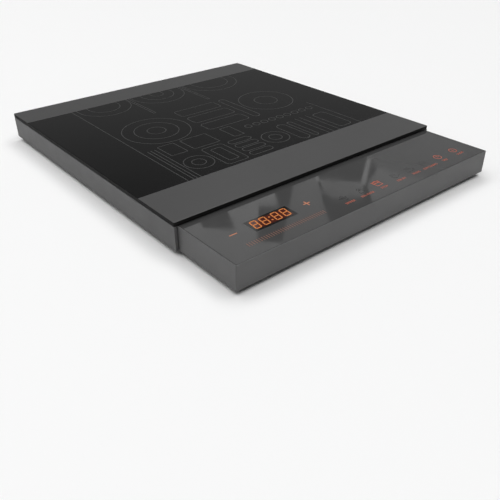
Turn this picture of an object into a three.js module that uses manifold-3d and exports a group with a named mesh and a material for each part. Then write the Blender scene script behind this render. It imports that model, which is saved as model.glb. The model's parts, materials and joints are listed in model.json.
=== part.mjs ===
// Portable induction cooktop with a control drawer that slides in under its ceramic glass.
//
// Millimetres, +Z up. X runs left to right and Y from the front to the back,
// as the user stands in front of it.
// The origin is on the table, under the middle of the object with its drawer out.
// Inside this file the housing is laid out about its own middle, and the whole group is then moved along Y.

import * as THREE from "three";
import { mergeVertices } from "three/addons/utils/BufferGeometryUtils.js";
import Module from "manifold-3d";

const wasm = await Module();
wasm.setup();

// -------------------------------------------------------------------------------------------------
// Driving dimensions
// -------------------------------------------------------------------------------------------------

const WIDTH = 330; // housing, left to right
const DEPTH = 330; // housing, front to back
const FOOT_HEIGHT = 5;
const HOUSING_HEIGHT = 27; // underside of the base to the top of the glass
const GLASS_THICKNESS = 4;
const SEAL_THICKNESS = 1;
const SHADOW_GAP = 0.25; // between the housing wall and the glass
const WALL = 2.5; // outer frame
const FLOOR = 2; // base pan
const CORNER_RADIUS = 1.25; // upright corners of the housing, the drawer and both glasses
const ARRIS = 0.5; // ground edge of both glasses

const DRAWER_TRAVEL = 74.5; // from shut to fully out
const DRAWER_TUCK = 10; // what stays under the glass when the drawer is out
const DRAWER_CLEARANCE = 0.75; // between the drawer and the side walls
const DRAWER_HEADROOM = 0.5; // between the control glass and the ceramic glass
const DRAWER_WALL = 2.5;
const DRAWER_RIM = 1; // thin top edge of the drawer that frames the control glass
const CONTROL_GLASS_THICKNESS = 2.5;

const COIL_CENTRE_Y = 10;
const COIL_INNER_RADIUS = 24;
const COIL_OUTER_RADIUS = 80;
const COIL_TURNS = 14;
const CARRIER_RADIUS = 86;

const FAN_SIZE = 80;
const FAN_HEIGHT = 11;
const FAN_CENTRE = [-110, 118];

const RAIL_X = 145; // each guide rail's middle, left and right of the centre line
const FIT = 0.25; // clearance between pieces that are pushed together

// Levels worked out from them
const BASE_Z = FOOT_HEIGHT;
const FLOOR_Z = BASE_Z + FLOOR;
const TOP_Z = BASE_Z + HOUSING_HEIGHT;
const GLASS_Z = TOP_Z - GLASS_THICKNESS;
const FRAME_TOP_Z = GLASS_Z - SEAL_THICKNESS;
const FRONT_Y = -DEPTH / 2;
const BACK_Y = DEPTH / 2;
const INNER_X = WIDTH / 2 - WALL;

const DRAWER_HALF = INNER_X - DRAWER_CLEARANCE;
const DRAWER_LENGTH = DRAWER_TRAVEL + DRAWER_TUCK;
const DRAWER_FRONT_Y = FRONT_Y - DRAWER_TRAVEL; // with the drawer out
const DRAWER_BACK_Y = DRAWER_FRONT_Y + DRAWER_LENGTH;
const DRAWER_TOP_Z = GLASS_Z - DRAWER_HEADROOM;
const CONTROL_GLASS_Z = DRAWER_TOP_Z - CONTROL_GLASS_THICKNESS;
const BAY_BACK_Y = FRONT_Y + DRAWER_LENGTH + 1.5; // where the drawer's room ends inside the housing

// -------------------------------------------------------------------------------------------------
// Materials
// -------------------------------------------------------------------------------------------------

function finish(color, roughness, metalness = 0) {
  return new THREE.MeshStandardMaterial({ color, roughness, metalness });
}

const FINISH = {
  ceramicGlass: finish(0x222222, 0.12),
  controlGlass: finish(0x5a5a5a, 0.1),
  housing: finish(0x636363, 0.5),
  blackPlastic: finish(0x1d1d1f, 0.6),
  rubber: finish(0x161616, 0.85),
  seal: finish(0x0c0c0c, 0.7),
  copper: finish(0x9c4a22, 0.35, 1),
  mica: finish(0xb9a87e, 0.6),
  ferrite: finish(0x2b2b2e, 0.8),
  board: finish(0x1f5a35, 0.5),
  aluminium: finish(0xb4b7bb, 0.35, 1),
  steel: finish(0x8c8f93, 0.3, 1),
  capacitor: finish(0xc9a227, 0.5),
  darkPart: finish(0x18181a, 0.45),
  ceramic: finish(0xe6e2d8, 0.5),
  lead: finish(0x8f2f20, 0.6),
  ribbon: finish(0xd8d4c8, 0.5),
  display: finish(0x1c2026, 0.25),
  lightGuide: finish(0xe8e8e4, 0.4),
};

// -------------------------------------------------------------------------------------------------
// Solids
// -------------------------------------------------------------------------------------------------

function solidOf(geometry) {
  const bare = geometry.index ? geometry.toNonIndexed() : geometry.clone();
  bare.deleteAttribute("normal");
  bare.deleteAttribute("uv");
  const merged = mergeVertices(bare, 1e-4);
  return new wasm.Manifold(
    new wasm.Mesh({
      numProp: 3,
      vertProperties: new Float32Array(merged.attributes.position.array),
      triVerts: new Uint32Array(merged.index.array),
    }),
  );
}

function geometryOf(solid) {
  const mesh = solid.getMesh();
  const geometry = new THREE.BufferGeometry();
  geometry.setAttribute("position", new THREE.BufferAttribute(mesh.vertProperties, 3));
  geometry.setIndex(new THREE.BufferAttribute(mesh.triVerts, 1));
  geometry.computeVertexNormals();
  return geometry;
}

function join(geometries) {
  return geometryOf(geometries.map(solidOf).reduce((whole, piece) => whole.add(piece)));
}

function cut(geometry, tools) {
  return geometryOf(tools.map(solidOf).reduce((whole, tool) => whole.subtract(tool), solidOf(geometry)));
}

function overlapOf(first, second) {
  return geometryOf(solidOf(first).intersect(solidOf(second)));
}

// A box from its three ranges.
function block([x0, x1], [y0, y1], [z0, z1]) {
  const middle = [(x0 + x1) / 2, (y0 + y1) / 2, (z0 + z1) / 2];
  return new THREE.BoxGeometry(x1 - x0, y1 - y0, z1 - z0).translate(...middle);
}

// An upright cylinder.
function rod(radius, [x, y], [z0, z1], sides = 20) {
  return new THREE.CylinderGeometry(radius, radius, z1 - z0, sides)
    .rotateX(Math.PI / 2)
    .translate(x, y, (z0 + z1) / 2);
}

// A rectangle with round corners, about the origin.
function roundedRectangle(width, depth, radius) {
  const x = width / 2 - radius;
  const y = depth / 2 - radius;
  const shape = new THREE.Shape();
  shape.absarc(x, y, radius, 0, Math.PI / 2);
  shape.absarc(-x, y, radius, Math.PI / 2, Math.PI);
  shape.absarc(-x, -y, radius, Math.PI, 1.5 * Math.PI);
  shape.absarc(x, -y, radius, 1.5 * Math.PI, 2 * Math.PI);
  shape.closePath();
  return shape;
}

function upright(shape, [z0, z1], curveSegments = 4) {
  const solid = new THREE.ExtrudeGeometry(shape, { depth: z1 - z0, bevelEnabled: false, curveSegments });
  return solid.translate(0, 0, z0);
}

// A sheet of glass: a plate with round corners whose upper and lower edges are ground to an arris.
function glassSheet(width, depth, [z0, z1]) {
  const shape = roundedRectangle(width - 2 * ARRIS, depth - 2 * ARRIS, CORNER_RADIUS - ARRIS);
  return new THREE.ExtrudeGeometry(shape, {
    depth: z1 - z0 - 2 * ARRIS,
    bevelThickness: ARRIS,
    bevelSize: ARRIS,
    bevelSegments: 1,
    curveSegments: 4,
  }).translate(0, 0, z0 + ARRIS);
}

// A section drawn in X and Z, run along Y.
function alongY(points, [y0, y1]) {
  const shape = new THREE.Shape(points.map(([x, z]) => new THREE.Vector2(x, z)));
  return new THREE.ExtrudeGeometry(shape, { depth: y1 - y0, bevelEnabled: false })
    .rotateX(Math.PI / 2)
    .translate(0, y1, 0);
}

// A section drawn in Y and Z, run along X.
function alongX(points, [x0, x1]) {
  const shape = new THREE.Shape(points.map(([y, z]) => new THREE.Vector2(y, z)));
  return new THREE.ExtrudeGeometry(shape, { depth: x1 - x0, bevelEnabled: false })
    .rotateX(Math.PI / 2)
    .rotateZ(Math.PI / 2)
    .translate(x0, 0, 0);
}

// A turned piece on an upright axis, from [radius, height] pairs that start and end on the axis,
// or close on themselves.
function turned(profile, sides = 24) {
  return new THREE.LatheGeometry(
    profile.map(([r, z]) => new THREE.Vector2(r, z)),
    sides,
  ).rotateX(Math.PI / 2);
}

// A round wire along a curve.
function wire(curve, radius, steps, sides = 6) {
  const section = new THREE.Shape();
  for (let i = 0; i < sides; i++) {
    const a = (2 * Math.PI * i) / sides;
    const point = [radius * Math.cos(a), radius * Math.sin(a)];
    if (i === 0) section.moveTo(...point);
    else section.lineTo(...point);
  }
  section.closePath();
  const settings = { extrudePath: curve, steps, bevelEnabled: false, curveSegments: 1 };
  return new THREE.ExtrudeGeometry(section, settings);
}

// A curve given by a formula in t, from 0 to 1.
class FormulaCurve extends THREE.Curve {
  constructor(formula) {
    super();
    this.formula = formula;
  }

  getPoint(t, target = new THREE.Vector3()) {
    return target.set(...this.formula(t));
  }
}

const cooktop = new THREE.Group();

function add(name, geometry, material) {
  const mesh = new THREE.Mesh(geometry, material);
  mesh.name = name;
  cooktop.add(mesh);
  return mesh;
}

// -------------------------------------------------------------------------------------------------
// Glass, seal and outer frame
// -------------------------------------------------------------------------------------------------

const LIP = 1; // outer part of the wall, which hides the seal
const LEDGE = { width: 6, thickness: 2 }; // inner ledge of the frame that carries the glass
const BOSS = { width: 10, depth: 12 }; // blocks in the frame that the base screws go into
const SCREW = { shank: 1.5, head: 3, headHeight: 2, length: 14 };
const SCREW_HOLE = 1.9;
const GLAND = { x: 118, z: 16, hole: 7, proud: 2 };
const EXHAUST = { slots: 16, pitch: 8, width: 3, from: -44, z: [10, 21] };

// Each boss runs 1 mm into the wall beside it.
const bossCentres = [-1, 1].flatMap((side) =>
  [BAY_BACK_Y + 1 + BOSS.depth / 2, BACK_Y - WALL + 1 - BOSS.depth / 2].map((y) => [
    side * (INNER_X + 1 - BOSS.width / 2),
    y,
  ]),
);

// A strip of the given width that runs up the left side, along the back and down the right side.
function uShape(outerX, outerY, width, frontY, radius) {
  const shape = new THREE.Shape();
  shape.moveTo(-outerX, frontY);
  shape.lineTo(-outerX + width, frontY);
  shape.lineTo(-outerX + width, outerY - width);
  shape.lineTo(outerX - width, outerY - width);
  shape.lineTo(outerX - width, frontY);
  shape.lineTo(outerX, frontY);
  shape.lineTo(outerX, outerY - radius);
  shape.absarc(outerX - radius, outerY - radius, radius, 0, Math.PI / 2);
  shape.absarc(-outerX + radius, outerY - radius, radius, Math.PI / 2, Math.PI);
  shape.closePath();
  return shape;
}

function outerFrame() {
  const outerX = WIDTH / 2;
  const walls = upright(uShape(outerX, BACK_Y, WALL, FRONT_Y, CORNER_RADIUS), [BASE_Z, FRAME_TOP_Z]);
  const lip = upright(uShape(outerX, BACK_Y, LIP, FRONT_Y, CORNER_RADIUS), [BASE_Z, GLASS_Z - SHADOW_GAP]);
  const ledge = upright(
    uShape(outerX - LIP, BACK_Y - LIP, WALL - LIP + LEDGE.width, BAY_BACK_Y, 0.25),
    [FRAME_TOP_Z - LEDGE.thickness, FRAME_TOP_Z],
  );
  const bosses = bossCentres.map(([x, y]) =>
    block(
      [x - BOSS.width / 2, x + BOSS.width / 2],
      [y - BOSS.depth / 2, y + BOSS.depth / 2],
      [FLOOR_Z + FIT, FRAME_TOP_Z - 1],
    ),
  );
  const slots = Array.from({ length: EXHAUST.slots }, (_, i) => {
    const x = EXHAUST.from + i * EXHAUST.pitch;
    const across = [x - EXHAUST.width / 2, x + EXHAUST.width / 2];
    return block(across, [BACK_Y - WALL - 1, BACK_Y + 1], EXHAUST.z);
  });
  // Drilled upwards, then turned to face the back.
  const glandRod = rod(GLAND.hole, [GLAND.x, -GLAND.z], [BACK_Y - 10, BACK_Y + 1], 24);
  const glandHole = glandRod.rotateX(-Math.PI / 2);
  const pilots = bossCentres.map((centre) => rod(SCREW_HOLE, centre, [FLOOR_Z - 1, FRAME_TOP_Z - 4], 12));
  return cut(join([walls, lip, ledge, ...bosses]), [...slots, glandHole, ...pilots]);
}

function glassSeal() {
  const outerX = WIDTH / 2 - LIP - FIT;
  const width = outerX - INNER_X;
  return upright(uShape(outerX, BACK_Y - LIP - FIT, width, FRONT_Y + FIT, 0.25), [FRAME_TOP_Z, GLASS_Z]);
}

add("ceramic_glass_top", glassSheet(WIDTH, DEPTH, [GLASS_Z, TOP_Z]), FINISH.ceramicGlass);
add("glass_seal", glassSeal(), FINISH.seal);
add("outer_frame", outerFrame(), FINISH.housing);

// -------------------------------------------------------------------------------------------------
// Base pan, feet and base screws
// -------------------------------------------------------------------------------------------------

const BOARD = { x: [-66, 149], y: [106, 157], z: 9.5, thickness: 1.5 };
const CARRIER = { z: 22.5, thickness: 2 };
const SPRING_RADIUS_AT = 78; // distance of each coil spring from the coil's axis
const springAngles = [90, 210, 330].map(THREE.MathUtils.degToRad);
const springCentres = springAngles.map((a) => [
  SPRING_RADIUS_AT * Math.cos(a),
  COIL_CENTRE_Y + SPRING_RADIUS_AT * Math.sin(a),
]);
const TONGUE_HALF = DRAWER_HALF - DRAWER_WALL - DRAWER_CLEARANCE; // the base's part under the drawer
const TONGUE_FRONT_Y = FRONT_Y + DRAWER_WALL + 1;
const RAIL = { front: -150, stop: -102, back: -12, half: 7, top: 13.5 };

function basePan() {
  const x = INNER_X - FIT;
  const outline = new THREE.Shape();
  outline.moveTo(-TONGUE_HALF, TONGUE_FRONT_Y);
  outline.lineTo(TONGUE_HALF, TONGUE_FRONT_Y);
  outline.lineTo(TONGUE_HALF, BAY_BACK_Y);
  outline.lineTo(x, BAY_BACK_Y);
  outline.lineTo(x, BACK_Y - WALL - FIT);
  outline.lineTo(-x, BACK_Y - WALL - FIT);
  outline.lineTo(-x, BAY_BACK_Y);
  outline.lineTo(-TONGUE_HALF, BAY_BACK_Y);
  outline.closePath();
  const sheet = upright(outline, [BASE_Z, FLOOR_Z]);

  const boardPosts = [BOARD.x[0] + 8, BOARD.x[1] - 12].flatMap((px) =>
    [BOARD.y[0] + 5, BOARD.y[1] - 6].map((py) => rod(3, [px, py], [FLOOR_Z - 1, BOARD.z], 12)),
  );
  const springPegs = springCentres.map((centre) => rod(3, centre, [FLOOR_Z - 1, FLOOR_Z + 4], 12));

  const intakeRadius = FAN_SIZE / 2 - 6;
  const slotPitch = 6;
  const intake = [];
  for (let offset = -30; offset <= 30; offset += slotPitch) {
    const reach = Math.sqrt(intakeRadius ** 2 - offset ** 2);
    const [fx, fy] = FAN_CENTRE;
    const along = [fy + offset - 1.5, fy + offset + 1.5];
    intake.push(block([fx - reach, fx - 1.5], along, [BASE_Z - 1, FLOOR_Z + 1]));
    intake.push(block([fx + 1.5, fx + reach], along, [BASE_Z - 1, FLOOR_Z + 1]));
  }
  const screwHoles = bossCentres.map((centre) => rod(SCREW_HOLE, centre, [BASE_Z - 1, FLOOR_Z + 1], 12));
  return cut(join([sheet, ...boardPosts, ...springPegs]), [...intake, ...screwHoles]);
}

function foot() {
  return turned([
    [0, 0],
    [8.5, 0],
    [9.5, 1],
    [10, FOOT_HEIGHT],
    [0, FOOT_HEIGHT],
  ]);
}

// A pan-head screw driven upwards, with its head under height z.
function screw(length, z) {
  const { shank, head, headHeight } = SCREW;
  return turned(
    [
      [0, z - headHeight],
      [head - 0.6, z - headHeight],
      [head, z - headHeight + 0.8],
      [head, z],
      [shank, z],
      [shank, z + length],
      [0, z + length],
    ],
    12,
  );
}

add("base_pan", basePan(), FINISH.blackPlastic);

const FOOT_X = 144;
const FOOT_Y = { front: -147, rear: 147 };
for (const [side, sign] of [["left", -1], ["right", 1]]) {
  for (const end of ["front", "rear"]) {
    add(`foot_${end}_${side}`, foot(), FINISH.rubber).position.set(sign * FOOT_X, FOOT_Y[end], 0);
  }
}
bossCentres.forEach(([x, y], i) => {
  add(`base_screw_${i + 1}`, screw(SCREW.length, BASE_Z), FINISH.steel).position.set(x, y, 0);
});

// -------------------------------------------------------------------------------------------------
// Coil: mica sheet, spiral winding, carrier, ferrite bars, springs, thermal sensor
// -------------------------------------------------------------------------------------------------

const MICA_THICKNESS = 0.5;
const WIRE_RADIUS = 1.5;
const WINDING_Z = GLASS_Z - MICA_THICKNESS - WIRE_RADIUS;
const HUB_HOLE = 8.5;
const SENSOR_RADIUS = 8;

// A flat ring about the coil's axis.
function ring(inner, outer, [z0, z1], sides = 48) {
  const hole = rod(inner, [0, 0], [z0 - 1, z1 + 1], Math.round(sides / 2));
  return cut(rod(outer, [0, 0], [z0, z1], sides), [hole]);
}

function spiral() {
  const sweep = COIL_TURNS * 2 * Math.PI;
  return new FormulaCurve((t) => {
    // Equal steps of angle, so that neighbouring turns stay parallel.
    const widen = COIL_OUTER_RADIUS - COIL_INNER_RADIUS - 2 * WIRE_RADIUS;
    const r = COIL_INNER_RADIUS + WIRE_RADIUS + widen * t;
    return [r * Math.cos(sweep * t), r * Math.sin(sweep * t), WINDING_Z];
  });
}

// A wire laid along points at equal steps of the curve's own parameter.
function wireByParameter(curve, radius, steps, sides) {
  curve.getPointAt = (t, target) => curve.getPoint(t, target);
  curve.getTangentAt = (t, target) => curve.getTangent(t, target);
  return wire(curve, radius, steps, sides);
}

function coilCarrier() {
  const z = [CARRIER.z, CARRIER.z + CARRIER.thickness];
  const windows = Array.from({ length: 6 }, (_, i) => {
    const middle = THREE.MathUtils.degToRad(30 + 60 * i);
    const half = THREE.MathUtils.degToRad(19);
    const shape = new THREE.Shape();
    shape.absarc(0, 0, 66, middle - half, middle + half, false);
    shape.absarc(0, 0, 20, middle + half, middle - half, true);
    shape.closePath();
    return upright(shape, [z[0] - 1, z[1] + 1], 5);
  });
  const cups = springAngles.map((a) =>
    rod(
      3,
      [SPRING_RADIUS_AT * Math.cos(a), SPRING_RADIUS_AT * Math.sin(a)],
      [CARRIER.z - 4, CARRIER.z + 1],
      12,
    ),
  );
  return cut(join([ring(HUB_HOLE, CARRIER_RADIUS, z), ...cups]), windows);
}

function coilSpring() {
  const wireRadius = 0.5;
  const meanRadius = 4;
  const turns = 5;
  const low = FLOOR_Z + wireRadius + 0.1;
  const high = CARRIER.z - wireRadius - 0.1;
  const curve = new FormulaCurve((t) => {
    const a = 2 * Math.PI * turns * t;
    return [meanRadius * Math.cos(a), meanRadius * Math.sin(a), low + (high - low) * t];
  });
  return wireByParameter(curve, wireRadius, turns * 9, 4);
}

function thermalSensor() {
  return turned([
    [0, CARRIER.z - 2],
    [10, CARRIER.z - 2],
    [10, CARRIER.z],
    [SENSOR_RADIUS, CARRIER.z],
    [SENSOR_RADIUS, GLASS_Z - 0.5],
    [SENSOR_RADIUS - 1, GLASS_Z],
    [0, GLASS_Z],
  ]);
}

const coil = new THREE.Group();
coil.position.y = COIL_CENTRE_Y;
cooktop.add(coil);

function addToCoil(name, geometry, material) {
  const mesh = add(name, geometry, material);
  coil.add(mesh);
  return mesh;
}

addToCoil("mica_sheet", ring(10, CARRIER_RADIUS - 1, [GLASS_Z - MICA_THICKNESS, GLASS_Z]), FINISH.mica);
addToCoil("coil_winding", wireByParameter(spiral(), WIRE_RADIUS, COIL_TURNS * 16, 6), FINISH.copper);
addToCoil("coil_carrier", coilCarrier(), FINISH.blackPlastic);
addToCoil("thermal_sensor", thermalSensor(), FINISH.ceramic);
const FERRITE = { length: 52, width: 12, height: 5, from: 26 };
for (let i = 0; i < 6; i++) {
  const bar = block(
    [FERRITE.from, FERRITE.from + FERRITE.length],
    [-FERRITE.width / 2, FERRITE.width / 2],
    [CARRIER.z - FERRITE.height, CARRIER.z],
  );
  addToCoil(`ferrite_bar_${i + 1}`, bar, FINISH.ferrite).rotation.z = (i * Math.PI) / 3;
}
springAngles.forEach((a, i) => {
  const at = [SPRING_RADIUS_AT * Math.cos(a), SPRING_RADIUS_AT * Math.sin(a), 0];
  addToCoil(`coil_spring_${i + 1}`, coilSpring(), FINISH.steel).position.set(...at);
});

// -------------------------------------------------------------------------------------------------
// Fan
// -------------------------------------------------------------------------------------------------

const FAN = {
  duct: 38,
  rotor: 36.5,
  hub: 15,
  hubWall: 2.5,
  blades: 9,
  shaft: 1.5,
  bore: 2,
  stator: 9,
  base: 14,
};

function fanFrame() {
  const z0 = FLOOR_Z;
  const z1 = FLOOR_Z + FAN_HEIGHT;
  const body = upright(roundedRectangle(FAN_SIZE, FAN_SIZE, 4), [z0, z1]);
  const duct = rod(FAN.duct, [0, 0], [z0 - 1, z1 + 1], 40);
  const corner = FAN_SIZE / 2 - 4.5;
  const holes = [-1, 1].flatMap((sx) =>
    [-1, 1].map((sy) => rod(2.2, [sx * corner, sy * corner], [z0 - 1, z1 + 1], 12)),
  );
  const spokes = [0, 1].map((i) =>
    block([-FAN.duct - 1, FAN.duct + 1], [-2, 2], [z0, z0 + 1.5]).rotateZ(Math.PI / 4 + (i * Math.PI) / 2),
  );
  const motor = [rod(FAN.base, [0, 0], [z0, z0 + 1.5], 24), rod(FAN.stator, [0, 0], [z0, z0 + 6], 20)];
  const bore = rod(FAN.bore, [0, 0], [z0 + 0.75, z0 + 7], 16);
  return cut(join([cut(body, [duct, ...holes]), ...spokes, ...motor]), [bore]);
}

function fanRotor() {
  const low = FLOOR_Z + 2;
  const high = FLOOR_Z + FAN_HEIGHT - 1;
  const hub = turned(
    [
      [0, low - 0.75],
      [FAN.shaft, low - 0.75],
      [FAN.shaft, high - 2],
      [FAN.hub - FAN.hubWall, high - 2],
      [FAN.hub - FAN.hubWall, low],
      [FAN.hub, low],
      [FAN.hub, high - 0.6],
      [FAN.hub - 0.6, high],
      [0, high],
    ],
    32,
  );
  const span = FAN.rotor - FAN.hub + 1;
  const pitch = THREE.MathUtils.degToRad(34);
  const blades = Array.from({ length: FAN.blades }, (_, i) =>
    new THREE.BoxGeometry(span, 11.5, 1.2)
      .rotateX(pitch)
      .translate(FAN.hub - 1 + span / 2, 0, (low + high) / 2)
      .rotateZ((2 * Math.PI * i) / FAN.blades),
  );
  const sweptRoom = ring(FAN.hub - 1.2, FAN.rotor, [low, high], 36);
  return join([hub, overlapOf(join(blades), sweptRoom)]);
}

add("fan_frame", fanFrame(), FINISH.blackPlastic).position.set(...FAN_CENTRE, 0);
add("fan_rotor", fanRotor(), FINISH.darkPart).position.set(...FAN_CENTRE, 0);

// -------------------------------------------------------------------------------------------------
// Power board and what it carries
// -------------------------------------------------------------------------------------------------

const BOARD_TOP = BOARD.z + BOARD.thickness;

function heatSink() {
  const [x0, x1] = [-22, 58];
  const foot = block([x0, x1], [130, 155], [BOARD_TOP, BOARD_TOP + 3]);
  const fins = [];
  for (let x = x0; x <= x1 - 2; x += 6) fins.push(block([x, x + 2], [134, 155], [BOARD_TOP + 2, 24]));
  return join([foot, ...fins]);
}

function chokeCoil() {
  return join([ring(6, 13.5, [BOARD_TOP, BOARD_TOP + 11], 28)]).translate(97, 121, 0);
}

// A glass fuse lying along Y, with a cap at each end.
function mainsFuse() {
  return turned(
    [
      [0, -10],
      [2.6, -10],
      [2.6, -4.5],
      [2.2, -4.5],
      [2.2, 4.5],
      [2.6, 4.5],
      [2.6, 10],
      [0, 10],
    ],
    12,
  )
    .rotateX(-Math.PI / 2)
    .translate(124, 144, BOARD_TOP + 2.7);
}

// A boxed part on the board, with its upper edges taken off.
function boxed([x0, x1], [y0, y1], height) {
  const shape = new THREE.Shape();
  shape.moveTo(x0, BOARD_TOP);
  shape.lineTo(x1, BOARD_TOP);
  shape.lineTo(x1, BOARD_TOP + height - 1);
  shape.lineTo(x1 - 1, BOARD_TOP + height);
  shape.lineTo(x0 + 1, BOARD_TOP + height);
  shape.lineTo(x0, BOARD_TOP + height - 1);
  shape.closePath();
  return new THREE.ExtrudeGeometry(shape, { depth: y1 - y0, bevelEnabled: false })
    .rotateX(Math.PI / 2)
    .translate(0, y1, 0);
}

add("power_board", block(BOARD.x, BOARD.y, [BOARD.z, BOARD_TOP]), FINISH.board);
add("heat_sink", heatSink(), FINISH.aluminium);
add("power_transistor", boxed([-14, 2], [108, 129.5], 5), FINISH.darkPart);
add("bridge_rectifier", boxed([20, 44], [112, 129.5], 4), FINISH.darkPart);
add("resonant_capacitor", boxed([-62, -26], [112, 132], 13), FINISH.capacitor);
add("smoothing_capacitor", boxed([-60, -28], [136, 156], 13), FINISH.capacitor);
add("filter_capacitor", boxed([64, 90], [138, 154], 12), FINISH.capacitor);
add("choke_coil", chokeCoil(), FINISH.copper);
add("control_transformer", boxed([118, 140], [110, 130], 13), FINISH.ferrite);
add("mains_fuse", mainsFuse(), FINISH.ceramic);
add("mains_terminal", boxed([97, 113], [138, 154], 10), FINISH.blackPlastic);

function cordGland() {
  const [inside, outside] = [BACK_Y - WALL - FIT, BACK_Y + FIT];
  const neck = GLAND.hole - 0.4;
  return turned(
    [
      [4, inside - 4],
      [7.5, inside - 4],
      [8.5, inside],
      [neck, inside],
      [neck, outside],
      [10, outside],
      [9, BACK_Y + GLAND.proud],
      [4, BACK_Y + GLAND.proud],
      [4, inside - 4],
    ],
    24,
  )
    .rotateX(-Math.PI / 2)
    .translate(GLAND.x, 0, GLAND.z);
}

add("cord_gland", cordGland(), FINISH.rubber);

// -------------------------------------------------------------------------------------------------
// Leads inside the housing
// -------------------------------------------------------------------------------------------------

const LEAD_RADIUS = 1.2;

function lead(points, radius, steps) {
  return wire(new THREE.CatmullRomCurve3(points.map((p) => new THREE.Vector3(...p))), radius, steps, 6);
}

const outerLead = [
  [78.5, 10.6, 26],
  [79, 30, 26],
  [82, 50, 25.4],
  [84, 64, 20],
  [76, 90, 15],
  [60, 108, 12.8],
];
const innerLead = [
  [25.4, 9.2, 26],
  [24.4, 3.4, 26],
  [22.6, -1, 22.5],
  [17, -6, 16],
  [0, -6, 14],
  [-24, 20, 14],
  [-26, 80, 14],
  [-22, 108, 12.8],
];
const sensorLead = [
  [0, 10, 20],
  [1, 11, 16],
  [10, 40, 13.5],
  [12, 92, 13.5],
  [10, 108, 12.2],
];
const fanLead = [
  [-69.3, 96, 16],
  [-66, 98, 16],
  [-62, 104, 15],
  [-60, 109, 12],
];

add("coil_lead_outer", lead(outerLead, LEAD_RADIUS, 24), FINISH.lead);
add("coil_lead_inner", lead(innerLead, LEAD_RADIUS, 36), FINISH.lead);
add("sensor_lead", lead(sensorLead, 0.8, 20), FINISH.lead);
add("fan_lead", lead(fanLead, 0.8, 10), FINISH.lead);

// -------------------------------------------------------------------------------------------------
// Guide rails
// -------------------------------------------------------------------------------------------------

const RUNNER = { foot: [8.75, 11.25], slot: 4.5, neck: 3.5, flange: [14, 15.5], half: 3, head: 4.5 };

function guideRail() {
  const body = alongY(
    [
      [-RAIL.half, FLOOR_Z],
      [RAIL.half, FLOOR_Z],
      [RAIL.half, RAIL.top],
      [-RAIL.half, RAIL.top],
    ],
    [RAIL.front, RAIL.back],
  );
  const channel = [RUNNER.foot[0] - FIT, RUNNER.foot[1] + FIT];
  const narrow = RUNNER.half + FIT;
  const wide = RUNNER.head + FIT;
  return cut(body, [
    block([-narrow, narrow], [RAIL.front - 1, RAIL.stop + 1], channel),
    block([-wide, wide], [RAIL.stop, RAIL.back - 3], channel),
    block(
      [-RUNNER.slot / 2, RUNNER.slot / 2],
      [RAIL.front - 1, RAIL.back - 3],
      [channel[0] + 1, RAIL.top + 1],
    ),
  ]);
}

for (const [side, sign] of [["left", -1], ["right", 1]]) {
  add(`guide_rail_${side}`, guideRail(), FINISH.aluminium).position.x = sign * RAIL_X;
}

// -------------------------------------------------------------------------------------------------
// Control drawer
// -------------------------------------------------------------------------------------------------

const FLOOR_GAP = 0.75; // between the base pan and the drawer's floor
const DRAWER_FLOOR = [FLOOR_Z + FLOOR_GAP, FLOOR_Z + FLOOR_GAP + 1.5];
const TUNNEL = { half: 8, wall: 1.5, roof: [RUNNER.flange[1], RUNNER.flange[1] + 1.5] };
const CONTROL_BOARD = { z: 17.25, thickness: 1.5 };
const CONTROL_BOARD_TOP = CONTROL_BOARD.z + CONTROL_BOARD.thickness;
const DISPLAY = { x: -96, y: -203.1, width: 44, depth: 17 };
const ICONS = { x: [-36.5, 148.3], y: [-230, -209.5] };
const RIBBON = { x: [30, 50], thickness: 0.4 };

function drawerShell() {
  const inside = DRAWER_HALF - DRAWER_WALL;
  const front = DRAWER_FRONT_Y + DRAWER_WALL;
  const rear = DRAWER_BACK_Y - 2;
  const outside = upright(roundedRectangle(2 * DRAWER_HALF, DRAWER_LENGTH, CORNER_RADIUS), [
    BASE_Z,
    DRAWER_TOP_Z,
  ]).translate(0, (DRAWER_FRONT_Y + DRAWER_BACK_Y) / 2, 0);
  const rimHalf = DRAWER_HALF - DRAWER_RIM;
  const middle = RAIL_X - TUNNEL.half - TUNNEL.wall;
  const outer = RAIL_X + TUNNEL.half + TUNNEL.wall;
  const above = CONTROL_GLASS_Z + 1;
  const rooms = [
    block(
      [-rimHalf, rimHalf],
      [DRAWER_FRONT_Y + DRAWER_RIM, DRAWER_BACK_Y - DRAWER_RIM],
      [CONTROL_GLASS_Z, DRAWER_TOP_Z + 1],
    ),
    block([-middle, middle], [front, rear], [DRAWER_FLOOR[1], above]),
    block([-inside, inside], [front, rear], [TUNNEL.roof[1], above]),
    block([-inside, -outer], [front, rear], [DRAWER_FLOOR[1], above]),
    block([outer, inside], [front, rear], [DRAWER_FLOOR[1], above]),
    block([-inside, inside], [front, DRAWER_BACK_Y + 1], [BASE_Z - 1, DRAWER_FLOOR[0]]),
    ...[-RAIL_X, RAIL_X].map((x) =>
      block([x - TUNNEL.half, x + TUNNEL.half], [front, DRAWER_BACK_Y + 1], [BASE_Z - 1, TUNNEL.roof[0]]),
    ),
    block(
      [RIBBON.x[0] - 2, RIBBON.x[1] + 2],
      [rear - 1, DRAWER_BACK_Y + 1],
      [CONTROL_BOARD.z - 2, CONTROL_BOARD.z],
    ),
  ];
  const posts = [-120, 0, 120].flatMap((x) =>
    [front + 8, rear - 8].map((y) => rod(3, [x, y], [DRAWER_FLOOR[0] + 0.5, CONTROL_BOARD.z], 12)),
  );
  return join([cut(outside, rooms), ...posts]);
}

function controlBoard() {
  return block([-156, 156], [DRAWER_FRONT_Y + 5, DRAWER_BACK_Y - 4], [CONTROL_BOARD.z, CONTROL_BOARD_TOP]);
}

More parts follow.
